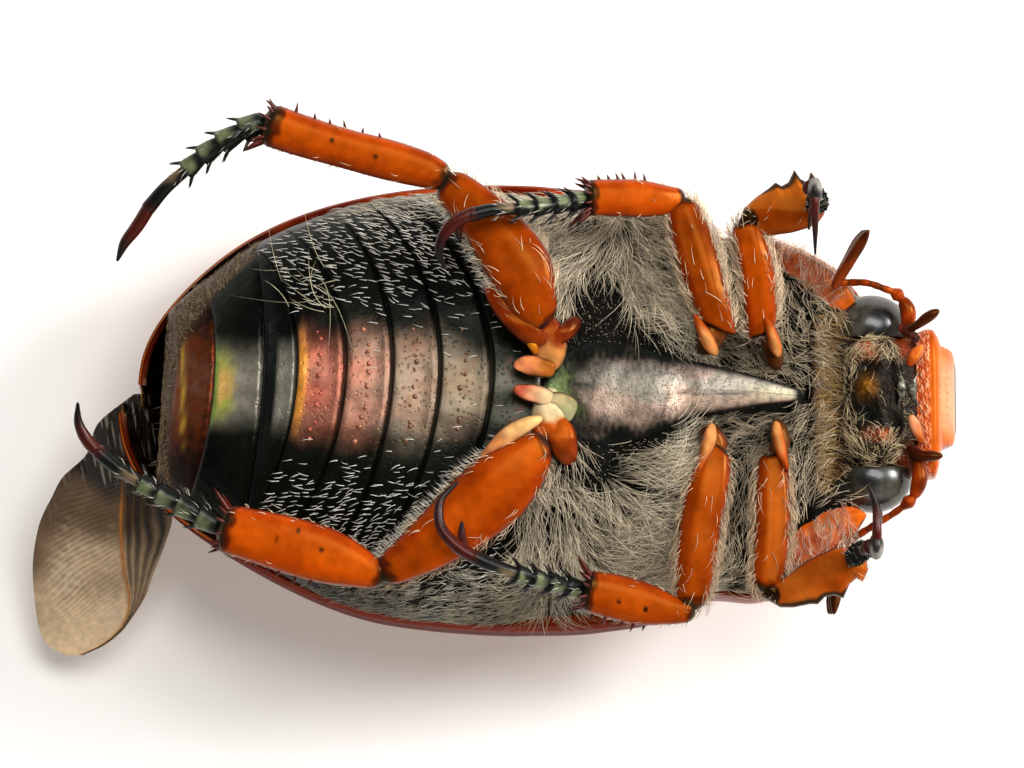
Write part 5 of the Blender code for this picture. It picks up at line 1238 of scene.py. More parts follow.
def coxa(name, stations):
    """The root of a leg, mostly hidden under the wool, with painted shade at its sides."""
    sink = COXA_SINK.get(name, 0.45)
    lowered = [(x, y, z - sink, wide, thick + 0.2) for x, y, z, wide, thick in stations]
    grid, part, around = limb(lowered, 60, 32, power=0.75, start=0.1, end=0.3, caps=0.3)
    grid[..., 2] += 0.03 * ripple(grid, 0.3, 93)
    near, far = COXA_COLOURS.get(name, (colour(70, 34, 14), colour(110, 50, 18)))
    tint = blend(near, far, fade(0.4, 0.62, part + 0.12 * ripple(grid, 0.4, 42)))
    # Darker at its sides, painted shade where it curves away.
    tint = blend(tint, tint * 0.35, fade(0.75, 1.0, np.abs(np.cos(around))))
    ring_piece("coxa_skin_" + name, grid, AMBER, tint, ("coxa_" + name,))


def femur_skin(name, stations):
    """A femur with a ridge along it."""
    grid, part, around = limb(stations, 80, 32, power=0.7, start=0.3, end=0.3, caps=(0.05, 0.1),
                              slant=SLANT.get(name, 0.0))
    ridge = 0.05 * np.exp(-(((around - 1.75) / 0.16) ** 2)) - 0.035 * np.exp(-(((around - 1.35) / 0.2) ** 2))
    grid[..., 2] += ridge * fade(0.1, 0.3, part) * fade(1.0, 0.75, part)
    tint = leg_tint(grid, part, around, 0.05, 0.09, FEMUR_PAINTED_SHADE.get(name, 1.0))
    ring_piece("femur_skin_" + name, grid, AMBER, tint, ("femur_" + name,))
    return grid


def toothed_tibia(name, stations, right):
    """A front tibia, flat and toothed, with a dark knee and dark edges, and on the right one a painted
    highlight on its upper half.
    """
    grid, radius = blade(TIBIA_BLADES[name], stations)
    x, y = grid[..., 0], grid[..., 1]
    # On the right tibia the upper, toothed half is painted lighter, a painted highlight.
    upper = fade(5.15, 5.3, y + 0.04 * ripple(grid, 0.5, 48)) if right else 0.4
    light = np.clip(0.7 * upper + 0.3 * ripple(grid, 0.5, 43), 0, 1)
    tint = blend(colour(150, 58, 6), colour(194, 104, 30), light)
    toothed = fade(0.25, 0.75, y - 5.3) if right else fade(0.1, 0.6, -5.8 - y)
    edge = fade(mix(0.93, 0.62, toothed), mix(0.99, 0.86, toothed), radius)
    knee = fade(0.42, 0.28, np.hypot(x - stations[0][0], y - stations[0][1]))
    tint = blend(tint, colour(16, 10, 7), np.clip(edge + knee, 0, 1))
    ring_piece("tibia_skin_" + name, grid, AMBER, tint, ("tibia_" + name,))
    return grid


def spined_tibia(name, stations, right):
    """A middle or hind tibia with its pits and spines."""
    grid, part, around = limb(stations, 170, 64, power=0.75, start=0.3, end=0.12, caps=0.07)
    tint = punctured(leg_tint(grid, part, around, 0.09, 0.12, TIBIA_PAINTED_LIGHT.get(name, 1.0)), grid, name)
    ring_piece("tibia_skin_" + name, grid, AMBER, tint, ("tibia_" + name,))
    tibia_spines(name, grid, math.pi if right else 0.0)
    return grid


def leg(name, parts):
    """All of a leg but its hair, which grows on the grids of femur and tibia that are given back."""
    right, front = name.endswith("right"), name.startswith("front")
    coxa(name, parts["coxa"])
    femur = femur_skin(name, parts["femur"])
    tibia = (toothed_tibia if front else spined_tibia)(name, parts["tibia"], right)
    tarsus(name, parts["tarsus"], right, front)
    claws(name, parts, front)
    return femur, tibia


LOBES = (  # name, looks, colours at the start and the end, then stations
    ("peach_lobe_right", "orange", colour(226, 134, 84), colour(150, 78, 26), (
        (0.1, 0.56, 9.0, 0.1, 0.2), (0.42, 0.58, 9.08, 0.29, 0.22), (0.85, 0.5, 9.08, 0.3, 0.22),
        (1.25, 0.42, 9.0, 0.22, 0.2))),
    ("peach_lobe_left", "orange", colour(208, 96, 66), colour(208, 178, 134), (
        (0.1, -0.14, 9.0, 0.1, 0.2), (0.4, -0.24, 9.08, 0.24, 0.22), (0.8, -0.32, 9.08, 0.28, 0.22),
        (1.15, -0.48, 9.0, 0.26, 0.2))),
    ("hip_plate_left", "orange", colour(180, 158, 120), colour(150, 146, 104), (
        (0.8, -0.72, 8.84, 0.24, 0.16), (1.15, -0.68, 8.96, 0.44, 0.2), (1.55, -0.74, 8.93, 0.46, 0.2),
        (1.86, -0.86, 8.82, 0.3, 0.16))),
    ("gold_knob_right", "orange", colour(206, 140, 26), colour(150, 70, 10), (
        (0.5, 1.32, 9.1, 0.1, 0.2), (0.62, 1.16, 9.2, 0.15, 0.22), (0.72, 0.96, 9.15, 0.1, 0.2))),
    ("socket_right", "orange", colour(150, 50, 10), colour(70, 18, 8), (
        (0.95, 1.3, 8.95, 0.2, 0.25), (1.35, 1.4, 9.05, 0.26, 0.3), (1.75, 1.7, 8.95, 0.26, 0.28),
        (1.95, 1.95, 8.8, 0.16, 0.2))),
    ("socket_left", "orange", colour(176, 74, 14), colour(120, 40, 10), (
        (1.2, -1.05, 9.0, 0.3, 0.25), (1.45, -1.5, 9.15, 0.46, 0.35), (1.6, -1.95, 9.1, 0.4, 0.33),
        (1.75, -2.35, 8.9, 0.2, 0.25))),
    ("trochanter_hind_right", "orange", colour(120, 40, 6), DEEP_ORANGE, (
        (1.0, 1.25, 9.05, 0.18, 0.25), (0.6, 1.5, 9.15, 0.36, 0.36), (0.1, 2.0, 9.15, 0.42, 0.38),
        (-0.4, 2.55, 9.1, 0.34, 0.34), (-0.82, 3.1, 9.0, 0.12, 0.24))),
    ("trochanter_hind_left", "orange", colour(226, 176, 112), colour(206, 128, 72), (
        (0.9, -1.02, 9.25, 0.08, 0.2), (0.45, -1.2, 9.42, 0.24, 0.3), (-0.1, -1.52, 9.45, 0.28, 0.3),
        (-0.62, -1.92, 9.45, 0.16, 0.25), (-1.0, -2.3, 9.4, 0.04, 0.12))),
    ("trochanter_middle_right", "orange", colour(196, 112, 52), ORANGE, (
        (6.1, 0.9, 8.9, 0.1, 0.22), (5.92, 1.2, 9.0, 0.22, 0.3), (5.66, 1.7, 9.0, 0.17, 0.28),
        (5.46, 2.1, 8.98, 0.05, 0.16))),
    ("trochanter_middle_left", "orange", colour(206, 132, 76), colour(176, 80, 20), (
        (5.98, -1.25, 8.95, 0.1, 0.24), (5.92, -1.65, 9.15, 0.22, 0.32), (5.74, -2.15, 9.2, 0.17, 0.3),
        (5.58, -2.6, 9.2, 0.04, 0.16))),
    ("trochanter_front_right", "orange", colour(190, 104, 44), ORANGE, (
        (7.98, 0.92, 8.1, 0.1, 0.22), (7.9, 1.15, 8.28, 0.2, 0.3), (7.78, 1.55, 8.38, 0.18, 0.32),
        (7.6, 1.98, 8.38, 0.05, 0.2))),
    ("trochanter_front_left", "orange", colour(196, 108, 46), ORANGE, (
        (7.92, -1.2, 8.1, 0.1, 0.24), (7.98, -1.6, 8.36, 0.2, 0.33), (8.1, -2.1, 8.52, 0.18, 0.33),
        (8.27, -2.6, 8.6, 0.04, 0.18))),
    ("mouth_lobe_right", "orange", colour(214, 110, 40), colour(170, 60, 10), (
        (12.3, 1.1, 6.75, 0.07, 0.2), (12.12, 0.86, 6.9, 0.2, 0.24), (11.95, 0.58, 6.85, 0.08, 0.2))),
    ("mouth_lobe_left", "orange", colour(232, 150, 104), colour(150, 62, 14), (
        (12.0, -0.98, 6.85, 0.1, 0.2), (12.16, -1.3, 6.9, 0.19, 0.24), (12.34, -1.75, 6.85, 0.1, 0.22))),
    ("cheek_right", "rough", colour(104, 34, 14), colour(60, 18, 8), (
        (11.7, 1.72, 6.4, 0.1, 0.16), (11.95, 1.55, 6.5, 0.17, 0.2), (12.2, 1.3, 6.5, 0.1, 0.16))),
    ("cheek_left", "rough", colour(104, 34, 14), colour(60, 18, 8), (
        (12.0, -1.9, 6.4, 0.1, 0.16), (12.2, -2.15, 6.5, 0.18, 0.2), (12.35, -2.45, 6.4, 0.1, 0.16))),
    ("lip_ridge_rear", "green", colour(134, 130, 114), colour(116, 114, 98), (
        (11.62, 0.62, 6.8, 0.015, 0.1), (11.68, 0.3, 6.92, 0.035, 0.12), (11.71, 0.0, 7.0, 0.13, 0.16),
        (11.74, -0.28, 6.98, 0.1, 0.14), (11.64, -0.55, 6.9, 0.025, 0.1), (11.6, -0.95, 6.75, 0.015, 0.08))),
    ("lip_ridge_front", "green", colour(134, 130, 114), colour(116, 114, 98), (
        (12.24, 0.36, 6.8, 0.015, 0.1), (12.11, 0.12, 6.92, 0.05, 0.12), (12.05, -0.1, 6.98, 0.15, 0.16),
        (12.07, -0.38, 6.95, 0.09, 0.14), (12.2, -0.6, 6.88, 0.025, 0.1), (12.38, -0.9, 6.75, 0.015, 0.08))),
)
LOWERED = {"socket_right": 0.15, "socket_left": 0.15}


def lobes():
    """The joints at the legs' roots and the small parts round the mouth."""
    looks = {"orange": AMBER, "rough": ROUGH, "green": METAL}
    for name, kind, shade, end_shade, stations in LOBES:
        grid, part, around = limb(stations, 60, 32, power=0.8, start=0.06, end=0.05, caps=0.13)
        grid[..., 2] += 0.04 * ripple(grid, 0.3, 45) - LOWERED.get(name, 0.0)
        if kind == "rough":
            grid += 0.05 * ripple(grid, 0.12, 49)[..., None] * (0.3, 0.3, 1)
        shade = blend(shade, end_shade, fade(0.2, 0.8, part + 0.1 * ripple(grid, 0.3, 94)))
        across = np.abs(np.cos(around))
        # A pale cream streak down the middle of the middle and front trochanters, a painted highlight.
        if name.startswith(("trochanter_middle", "trochanter_front")):
            shade = blend(shade, colour(222, 160, 96), 0.5 * fade(0.55, 0.1, across) * fade(0.85, 0.5, part))
        if kind == "green":
            shade = blend(shade, colour(16, 18, 12), 0.8 * fade(-0.1, 0.7, ripple(grid, 0.12, 97)))
        tint = blend(shade, shade * 0.3, np.clip(0.12 + 0.2 * ripple(grid, 0.4, 44), 0, 1))
        # A dark outline at the sides: partly each lobe's own dark rim, partly painted shade in the gap round
        # it.
        tint = blend(tint, colour(50, 16, 8), 0.85 * fade(0.72, 0.97, across))
        tint = blend(tint, DARK_BROWN, 0.8 * fade(0.07, 0.01, part) + 0.8 * fade(0.93, 0.99, part))
        ring_piece(name, grid, looks[kind], tint)


def tibia_spines(name, tibia, outer):
    """Spines down a tibia's outer edge, a ring of them at its end, and two spurs."""
    rng = np.random.default_rng(len(name) + ord(name[-1]))
    spines, sizes = [], []
    for part in SPINE_PLACES:
        root, out, ahead = at(tibia, part, outer + rng.uniform(-0.2, 0.2))
        spines.append((root - out * 0.05, out + ahead * rng.uniform(0.1, 0.5)))
        sizes.append((rng.uniform(0.2, 0.42), 0.06))
    for angle in np.arange(END_SPINES) / END_SPINES * 2 * math.pi:
        root, out, ahead = at(tibia, END_PLACE, angle)
        spines.append((root - out * 0.06, ahead + out * rng.uniform(0.35, 0.9)))
        sizes.append((rng.uniform(0.25, 0.5), 0.07))
    for angle, length in SPURS:
        root, out, ahead = at(tibia, END_PLACE, outer + math.pi + angle)
        spines.append((root - out * 0.08, ahead * 0.8 + out * 0.9))
        sizes.append((length, 0.11))
    spikes("tibia_spines_" + name, spines, *np.array(sizes).T, RED_BROWN * 0.5)


def saw(part):
    """The width of a foot along it: each joint widens to its end."""
    joint = np.clip(np.searchsorted(TARSUS_JOINTS, part, side="right") - 1, 0, 4)
    t = (part - TARSUS_JOINTS[joint]) / (TARSUS_JOINTS[joint + 1] - TARSUS_JOINTS[joint])
    return np.where(joint < 4, 0.6 + 0.4 * t ** 0.8, 0.55 + 0.3 * t ** 0.7)


def tarsus(name, stations, right, front):
    """Five foot joints, each widening to a toothed end, with spines beneath and painted glints on their lit
    side.
    """
    if front:
        stations = [(x - FOOT_BACK, *rest) for x, *rest in stations]
    grid, part, around = limb(stations, 150, 24, power=1.0, start=0.35, end=0.15, caps=0.04, shape=saw)
    # Painted highlights: a pale green-grey glint on the lit side of each joint, and a cream one near the
    # start of the last joint.
    lit = np.sin(around - (0.8 if right else -0.8) + 0.5 * ripple(grid, 0.3, 51))
    upper = fade(0.35, 0.95, lit) * fade(0.02, 0.1, part)
    glint = upper * fade(0.68, 0.86, saw(part)) * fade(1.0, 0.94, saw(part))
    tint = blend(colour(11, 13, 9), colour(128, 138, 96), 0.6 * glint * fade(0.66, 0.6, part))
    tint = blend(tint, colour(150, 126, 92), 0.55 * upper * fade(0.62, 0.66, part) * fade(0.8, 0.7, part))
    tint = blend(tint, RED_BROWN * 0.6, 0.6 * fade(0.9, 1.0, part))
    ring_piece("tarsus_skin_" + name, grid, DARK, tint, ("tarsus_" + name,))
    spines = []
    for joint in TARSUS_JOINTS[1:5]:
        ring = np.interp(joint - 0.015, part[:, 0], np.linspace(0, 1, len(part)))
        for angle in FOOT_SPINES:
            root, out, ahead = at(grid, ring, angle)
            spines.append((root - out * 0.05, ahead + out * 0.75))
    spikes("tarsus_spines_" + name, spines, 0.16 if front else 0.42, 0.055, colour(24, 22, 18))
    coat("tarsus_hair_" + name, grid[:110], 70, tuple(grid[-1].mean(0) - grid[0].mean(0)), 0.42, 0.014, 38,
         colour(220, 214, 198), closed=True, outwards=grid[75].mean(0), spread=0.2, slot="dark", segments=2)


def foot_end(name, root):
    """The joint that a front foot's claws spring from, with a light rim on its outer side."""
    bulb = dome(root, FOOT_END, 30, 30)
    outer = (bulb[..., 1] - root[1]) * (-1 if name.endswith("left") else 1)
    away = np.hypot((bulb[..., 0] - root[0]) / FOOT_END[0], (bulb[..., 1] - root[1]) / FOOT_END[1])
    rim = fade(0.35, 0.65, away) * fade(1.0, 0.88, away) * fade(-0.12, 0.12, outer)
    ring_piece("foot_end_" + name, bulb, DARK, blend(colour(34, 31, 29), colour(132, 128, 120), rim))


def claws(name, parts, front):
    """Two unequal curved claws, dark red with black tips."""
    if front:
        foot_end(name, np.array(parts["claw"][0][:3]) + (0, -0.05, 0.0))
    slim = 0.6 if front else 0.8
    for key, start, replaces in (("claw", 0.35, ("claws_" + name,)), ("second", 0.1, ())):
        stations = [(x, y, z, wide * slim, thick * slim) for x, y, z, wide, thick in parts[key]]
        grid, part, _ = limb(stations, 50, 16, power=1.0, start=start, caps=0.03)
        tint = blend(colour(70, 18, 9), colour(14, 8, 6), fade(0.3, 0.9, part + 0.1 * ripple(grid, 0.5, 52)))
        ring_piece(f"{key}_claw_{name}", grid, DARK, tint, replaces)


# Head

EYE_SIZE = (1.16, 1.0, 0.98)
EYE_AT = (1.42, 2.3, 5.6)    # in the head's own frame, on its right side
EYE_FLAT = 1.97              # how far from the middle an eye ends in a flat inner side


def dome(centre, radii, rings=40, sides=48, keep=math.pi):
    """An ellipsoid as rings of points from its top down to the angle keep."""
    fall = np.linspace(0.01, keep, rings)[:, None]
    angle = np.linspace(0, 2 * math.pi, sides, endpoint=False)[None, :]
    up = np.broadcast_to(np.cos(fall), (rings, sides))
    ball = np.stack((np.sin(fall) * np.cos(angle), np.sin(fall) * np.sin(angle), up), -1)
    return np.array(centre) + ball * np.array(radii)


SKULL = (
    (-0.9, (3.3, 4.1, 6.5)), (0.1, (3.1, 3.9, 6.6)), (0.7, (2.3, 3.75, 6.7)), (1.2, (2.0, 3.65, 6.75)),
    (1.9, (2.0, 3.75, 6.6)), (2.5, (2.18, 3.95, 6.3)), (3.0, (2.1, 4.15, 6.1)),
)
CLYPEUS = (
    (2.7, (2.15, 4.2, 6.25)), (3.1, (2.25, 4.2, 6.32)), (3.27, (2.18, 4.25, 6.27)),
    (3.36, (1.98, 4.3, 6.2)), (3.44, (1.64, 4.35, 6.08)), (3.56, (1.53, 4.4, 5.9)),
    (3.72, (1.46, 4.45, 5.62)), (3.85, (1.3, 4.5, 5.28)), (3.92, (0.95, 4.6, 4.95)),
)
CLYPEUS_SHIFT = 0.2          # how far its pale face lies to the right of the middle
SPOT_ROWS = (3.42, 3.62)     # x of the rows of spots on that face
SPOT_STEP = 0.22


def even_angles(sides, power):
    """Angles whose points lie evenly round a rounded box, twice as wide as it is high."""
    angle = np.linspace(0, 2 * math.pi, 8001)
    path = np.stack((2 * signed_power(np.cos(angle), power), signed_power(np.sin(angle), power)), -1)
    steps = distances(path)
    return np.interp(np.linspace(0, steps[-1], sides, endpoint=False), steps, angle)


def boxy(table, rings, sides, power):
    """Rings along x of rounded boxes from a table of half width, low and high, closed at both ends."""
    x = mix(table[0][0], table[-1][0], np.linspace(0, 1, rings))
    wide, low, high = along(table, x).T[..., None]
    angle = even_angles(sides, power)[None, :]
    y = wide * signed_power(np.cos(angle), power)
    z = (low + high) / 2 + (high - low) / 2 * signed_power(np.sin(angle), power)
    return closed_ends(np.stack((np.broadcast_to(x[:, None], y.shape), y, z), -1))


def eye(name, side):
    """A domed eye, cut flat towards the middle of the head."""
    ball = dome((-0.06, 0, 0), EYE_SIZE) + np.array((EYE_AT[0], EYE_AT[1] * side, EYE_AT[2]))
    ball[..., 1] = side * np.maximum(side * ball[..., 1], EYE_FLAT)
    tint = blend(colour(66, 64, 54), colour(14, 14, 11), fade(-0.5, 0.6, ripple(ball, 0.7, 61)))
    ring_piece("eye_dome_" + name, head_turned(ball), EYE, tint, ("eye_" + name,))


def head():
    """The skull with its eyes, its mouth plate and the shield in front."""
    skull = boxy(SKULL, 90, 160, 0.7)
    x, y = skull[..., 0], np.abs(skull[..., 1])
    under = fade(5.6, 6.4, skull[..., 2])
    tint = blend(colour(130, 66, 18), colour(20, 13, 8), under)
    tint = blend(tint, colour(60, 34, 12), under * fade(0.7, 0.2, x))
    tint = blend(tint, colour(136, 46, 14), under * fade(1.1, 1.7, y) * fade(1.8, 2.3, x))
    grid = head_turned(skull)
    ring_piece("skull", grid, ROUGH, tint, ("head",))
    clypeus()
    eye("right", 1)
    eye("left", -1)
    plate, tint = mentum()
    ring_piece("mentum", plate, ROUGH, tint, ("mouthparts",))
    return grid, plate


MENTUM_SPOTS = (  # x, y, their reach, the rise and the colour of the lumps and pits of the mouth's plate
    (1.18, 1.5, 0.34, 0.3, 0.2, colour(170, 82, 34)), (1.2, 0.98, 0.3, 0.26, -0.3, colour(8, 11, 5)),
    (1.2, 0.32, 0.26, 0.34, 0.08, colour(120, 74, 8)), (1.2, -0.42, 0.3, 0.3, -0.25, colour(9, 12, 6)),
    (1.8, 0.3, 0.16, 0.9, -0.12, colour(34, 20, 10)), (1.5, -1.1, 0.36, 0.16, 0.1, colour(190, 74, 20)),
    (1.1, -1.45, 0.36, 0.26, 0.15, colour(40, 34, 18)), (2.1, 0.9, 0.2, 0.3, -0.2, colour(6, 6, 4)),
    (2.1, -0.8, 0.2, 0.35, -0.2, colour(6, 6, 4)),
)
MENTUM_AT = (1.42, 0.0, 6.5)
MENTUM_SIZE = (0.84, 1.85, 0.75)


def mentum():
    """The hairy, lumpy plate between the eyes, and its tint."""
    plate = dome(MENTUM_AT, MENTUM_SIZE, rings=90, sides=120, keep=math.pi * 0.55)
    off = plate[..., :2] - MENTUM_AT[:2]
    angle = np.arctan2(off[..., 1] / MENTUM_SIZE[1], off[..., 0] / MENTUM_SIZE[0])
    square = 1 + 0.16 * np.abs(np.sin(2 * angle))
    plate[..., :2] = off * square[..., None] + MENTUM_AT[:2]
    tint = np.broadcast_to(colour(26, 22, 13), plate.shape)
    for x, y, reach_x, reach_y, rise, shade in MENTUM_SPOTS:
        near = np.exp(-((plate[..., 0] - x) / reach_x) ** 2 - ((plate[..., 1] - y) / reach_y) ** 2)
        plate[..., 2] += rise * near
        tint = blend(tint, shade, np.clip(near * 1.3, 0, 1))
    plate[..., 2] += 0.03 * ripple(plate, 0.25, 63) + 0.02 * ripple(plate, 0.1, 95)
    return head_turned(plate), blend(tint, tint * 0.4, fade(0.0, 1.0, ripple(plate, 0.3, 64)))


def clypeus():
    """The shield at the front of the head: a rough band, a smooth one and the pale face below them."""
    front = boxy(CLYPEUS, 130, 420, 0.45)
    grains = 0.6 * ripple(front, 0.055, 62) + 0.4 * ripple(front, 0.09, 98)
    front[..., 2] += grains * 0.02 * fade(3.12, 3.05, front[..., 0])
    tint = clypeus_tint(front[..., 0], front[..., 1], grains)
    front[..., 1] += CLYPEUS_SHIFT * fade(3.3, 3.46, front[..., 0])
    ring_piece("clypeus_shield", head_turned(front), AMBER, tint, ("clypeus",))


def clypeus_tint(x, y, grains):
    """Pale grains on brown, then orange, then the pale face, lighter in its middle with a painted highlight,
    with two rows of small spots.
    """
    off = np.abs(y)
    tint = blend(colour(186, 78, 38), colour(226, 150, 112), fade(-0.1, 0.6, grains))
    tint = blend(tint, colour(130, 40, 16), 0.6 * fade(-0.2, -0.7, grains))
    tint = blend(tint, colour(176, 70, 8), fade(3.08, 3.14, x))
    tint = blend(tint, colour(196, 110, 56), fade(3.3, 3.38, x))
    # The face is lighter in its middle: partly its own pale colour, partly a painted highlight.
    tint = blend(tint, colour(216, 150, 108), 0.7 * fade(3.34, 3.5, x) * fade(1.3, 0.6, off))
    tint = blend(tint, colour(196, 88, 14), fade(0.95, 1.4, off) * fade(3.25, 3.35, x))
    wide = off / along([(row[0], row[1][0]) for row in CLYPEUS], x)
    tint = blend(tint, colour(120, 50, 14), 0.6 * fade(0.93, 1.0, wide) * fade(3.3, 3.4, x))
    for place in SPOT_ROWS:
        spots = np.cos((y - 0.1) * 2 * math.pi / SPOT_STEP) * fade(1.15, 1.0, off)
        spots = spots * fade(0.07, 0.0, np.abs(x - place))
        tint = blend(tint, colour(170, 96, 44), np.clip(spots, 0, 1) * 0.8)
    return blend(tint, colour(44, 26, 18), fade(3.85, 3.885, x))


ANTENNAE = {
    "right": {
        "stalk": (
            (11.92, 1.85, 6.3, 0.24, 0.24), (11.9, 2.3, 6.3, 0.26, 0.26), (11.6, 2.7, 6.3, 0.25, 0.25),
            (11.2, 2.88, 6.45, 0.24, 0.24), (10.66, 3.05, 6.45, 0.24, 0.24), (10.2, 3.06, 6.3, 0.25, 0.25),
            (9.95, 3.06, 6.3, 0.25, 0.25),
        ),
        "club": ((9.72, 2.95, 6.3), (10.68, 4.65, 6.6)),
    },
    "left": {
        "stalk": (
            (12.26, -2.5, 6.6, 0.24, 0.24), (12.26, -2.95, 6.65, 0.26, 0.26),
            (12.06, -3.42, 6.6, 0.25, 0.25), (11.66, -3.78, 6.55, 0.24, 0.24),
            (11.07, -4.16, 6.5, 0.24, 0.24), (10.6, -4.45, 6.35, 0.25, 0.25),
            (10.2, -4.72, 6.2, 0.25, 0.25),
        ),
        "club": ((9.95, -4.75, 6.2), (9.62, -6.95, 6.3)),
    },
}
PALPS = {
    "right": ((11.95, 1.65, 6.6, 0.12, 0.12), (12.2, 1.78, 6.8, 0.13, 0.13), (12.5, 2.0, 6.9, 0.17, 0.17),
              (12.78, 2.18, 7.0, 0.12, 0.12)),
    "left": (
        (12.05, -2.0, 6.7, 0.12, 0.12), (12.35, -2.15, 6.85, 0.15, 0.14), (12.65, -2.17, 6.9, 0.16, 0.16),
        (12.88, -2.16, 6.95, 0.1, 0.1),
    ),
}
LEAF = ((0, 0.1, 0.12), (0.15, 0.15, 0.14), (0.5, 0.17, 0.13), (0.85, 0.14, 0.12), (1.0, 0.05, 0.08))
LEAF_SPREAD = np.array((0.07, 0, 0.3))  # from the tip of one leaf of the club to the next


def beads(s):
    """The width of a feeler's stalk: a stout first joint, a round second and a thin chain."""
    first = 0.6 + 0.35 * np.sin(np.clip(s / 0.3, 0, 1) * math.pi) ** 0.7
    second = 0.45 + 0.4 * np.exp(-((s - 0.37) / 0.045) ** 2)
    chain = 0.4 + 0.06 * np.abs(np.sin((s - 0.44) * math.pi * 5 / 0.56))
    return np.where(s < 0.3, first, np.where(s < 0.44, second, chain))


def antenna(side):
    """A feeler with its club, and the palp of the same side."""
    grid, part, _ = limb(ANTENNAE[side]["stalk"], 120, 20, power=1.0, start=0.2, end=0.15, caps=0.03,
                         shape=beads)
    tint = blend(colour(150, 50, 6), colour(88, 24, 6), 0.5 + 0.5 * ripple(grid, 0.4, 71))
    joints = fade(0.5, 0.9, np.cos(part * 2 * math.pi * 9))
    tint = blend(tint, DARK_BROWN, 0.7 * joints * fade(0.4, 0.5, part))
    ring_piece("antenna_stalk_" + side, grid, AMBER, tint, ("antenna_" + side,))
    club(side, *ANTENNAE[side]["club"])
    palp = limb(PALPS[side], 40, 20, power=1.0, start=0.2, end=0.1, caps=0.2)[0]
    ring_piece("palp_skin_" + side, palp, AMBER, colour(52, 14, 6), ("palp_" + side,))


def club(side, root, tip):
    """The three leaves at the end of a feeler."""
    leaves, tints = [], []
    for spread in (-1, 0, 1):
        end = np.array(tip) + spread * LEAF_SPREAD
        stations = [(*mix(np.array(root), end, t), wide, thick) for t, wide, thick in LEAF]
        leaf, part, around = limb(stations, 60, 20, power=1.0, start=0.1, caps=0.05)
        outer = fade(0.2, 0.9, part + 0.2 * ripple(leaf, 0.3, 72))
        shade = blend(colour(122, 46, 14), colour(52, 16, 6), outer)
        leaves.append(leaf)
        tints.append(blend(shade, DARK_BROWN, fade(0.8, 1.0, np.abs(np.cos(around)))))
    rings_piece("antenna_leaves_" + side, leaves, AMBER, tints, ("antenna_club_" + side,))


# The folded hindwing

WING_ROWS = (  # depth below the suture, then height and x of outer edge, main vein, fold and inner edge
    (0.3, (3.45, -11.45, -11.3, -11.1, -10.95)), (1.14, (3.3, -12.5, -11.65, -11.3, -10.9)),
    (2.19, (3.1, -12.95, -11.72, -11.3, -10.7)), (2.85, (2.95, -13.65, -11.8, -11.25, -10.5)),
    (3.4, (2.75, -13.95, -11.83, -11.2, -10.38)), (4.1, (2.5, -14.3, -11.87, -11.15, -10.32)),
    (4.9, (2.25, -14.5, -11.85, -11.2, -10.55)), (5.7, (2.0, -14.57, -11.78, -11.3, -10.87)),
    (6.5, (1.75, -14.52, -11.62, -11.38, -11.17)), (7.1, (1.6, -14.45, -11.7, -11.62, -11.55)),
    (7.6, (1.45, -14.32, -12.05, -12.0, -11.95)), (8.0, (1.35, -14.05, -12.6, -12.55, -12.5)),
    (8.25, (1.28, -13.6, -13.15, -13.1, -13.05)),
)
RIB_STEP = 0.14              # from one of the membrane's fine folds to the next
WING_THICK = 0.05


def hindwing():
    """A thin ribbed membrane that slips out from under the left wing case."""
    y = np.concatenate((np.linspace(0.3, 7.8, 300), np.linspace(7.82, 8.25, 24)))
    z, *marks = along(WING_ROWS, y).T
    across = np.linspace(0, 1, 110)[None, :]
    x = np.stack([np.interp(across[0], (0, 0.6, 0.8, 1.0), row) for row in np.stack(marks, 1)])
    depth = np.broadcast_to(y[:, None], x.shape)
    place = np.stack((x, depth, 0 * x), -1)
    from_vein = x - marks[1][:, None]
    near_vein = np.exp(-((across - 0.6) / 0.014) ** 2)
    near_edge = np.exp(-((across - 0.985) / 0.015) ** 2) * fade(6.0, 6.8, depth)
    plain = fade(0.6, 0.5, across) * fade(2.2, 3.6, depth) * fade(0.02, 0.2, across)
    slope = 0.35 + 0.12 * (depth - 4.0)
    ribs = np.sin((depth + slope * from_vein + 0.03 * ripple(place, 0.8, 82)) * 2 * math.pi / RIB_STEP)
    ribs = ribs * plain * (0.75 + 0.25 * ripple(place, 0.9, 87)) * fade(7.9, 5.6, depth)
    folds = np.sin((across * 11 + 0.25 * ripple(place, 0.7, 83)) * 2 * math.pi) * fade(0.6, 0.68, across)
    lengthwise = place * (1.0, 0.25, 1.0) @ turn_matrix("Z", 30).T * (1.0, 0.35, 1.0)
    crumple = (ripple(lengthwise, 0.3, 84) + 0.6 * ripple(lengthwise, 0.12, 88)) * fade(3.4, 2.2, depth)
    lift = 0.12 * near_vein + 0.07 * near_edge + 0.01 * ribs + 0.06 * folds + 0.1 * crumple
    sag = -0.035 * from_vein ** 2
    top = np.stack((x, -depth, z[:, None] + sag + lift + 0.1), -1)
    veins = np.clip(near_vein * fade(2.4, 3.2, depth) + near_edge, 0, 1)
    tint = wing_tint(place, depth, across, lengthwise, plain, ribs, folds, veins)
    grid = np.concatenate((top, (top - (0, 0, WING_THICK))[:, ::-1]), 1)
    tints = np.concatenate((tint, tint[:, ::-1]), 1)
    ring_piece("hindwing_membrane", grid, MEMBRANE, tints, ("hindwing_left",))


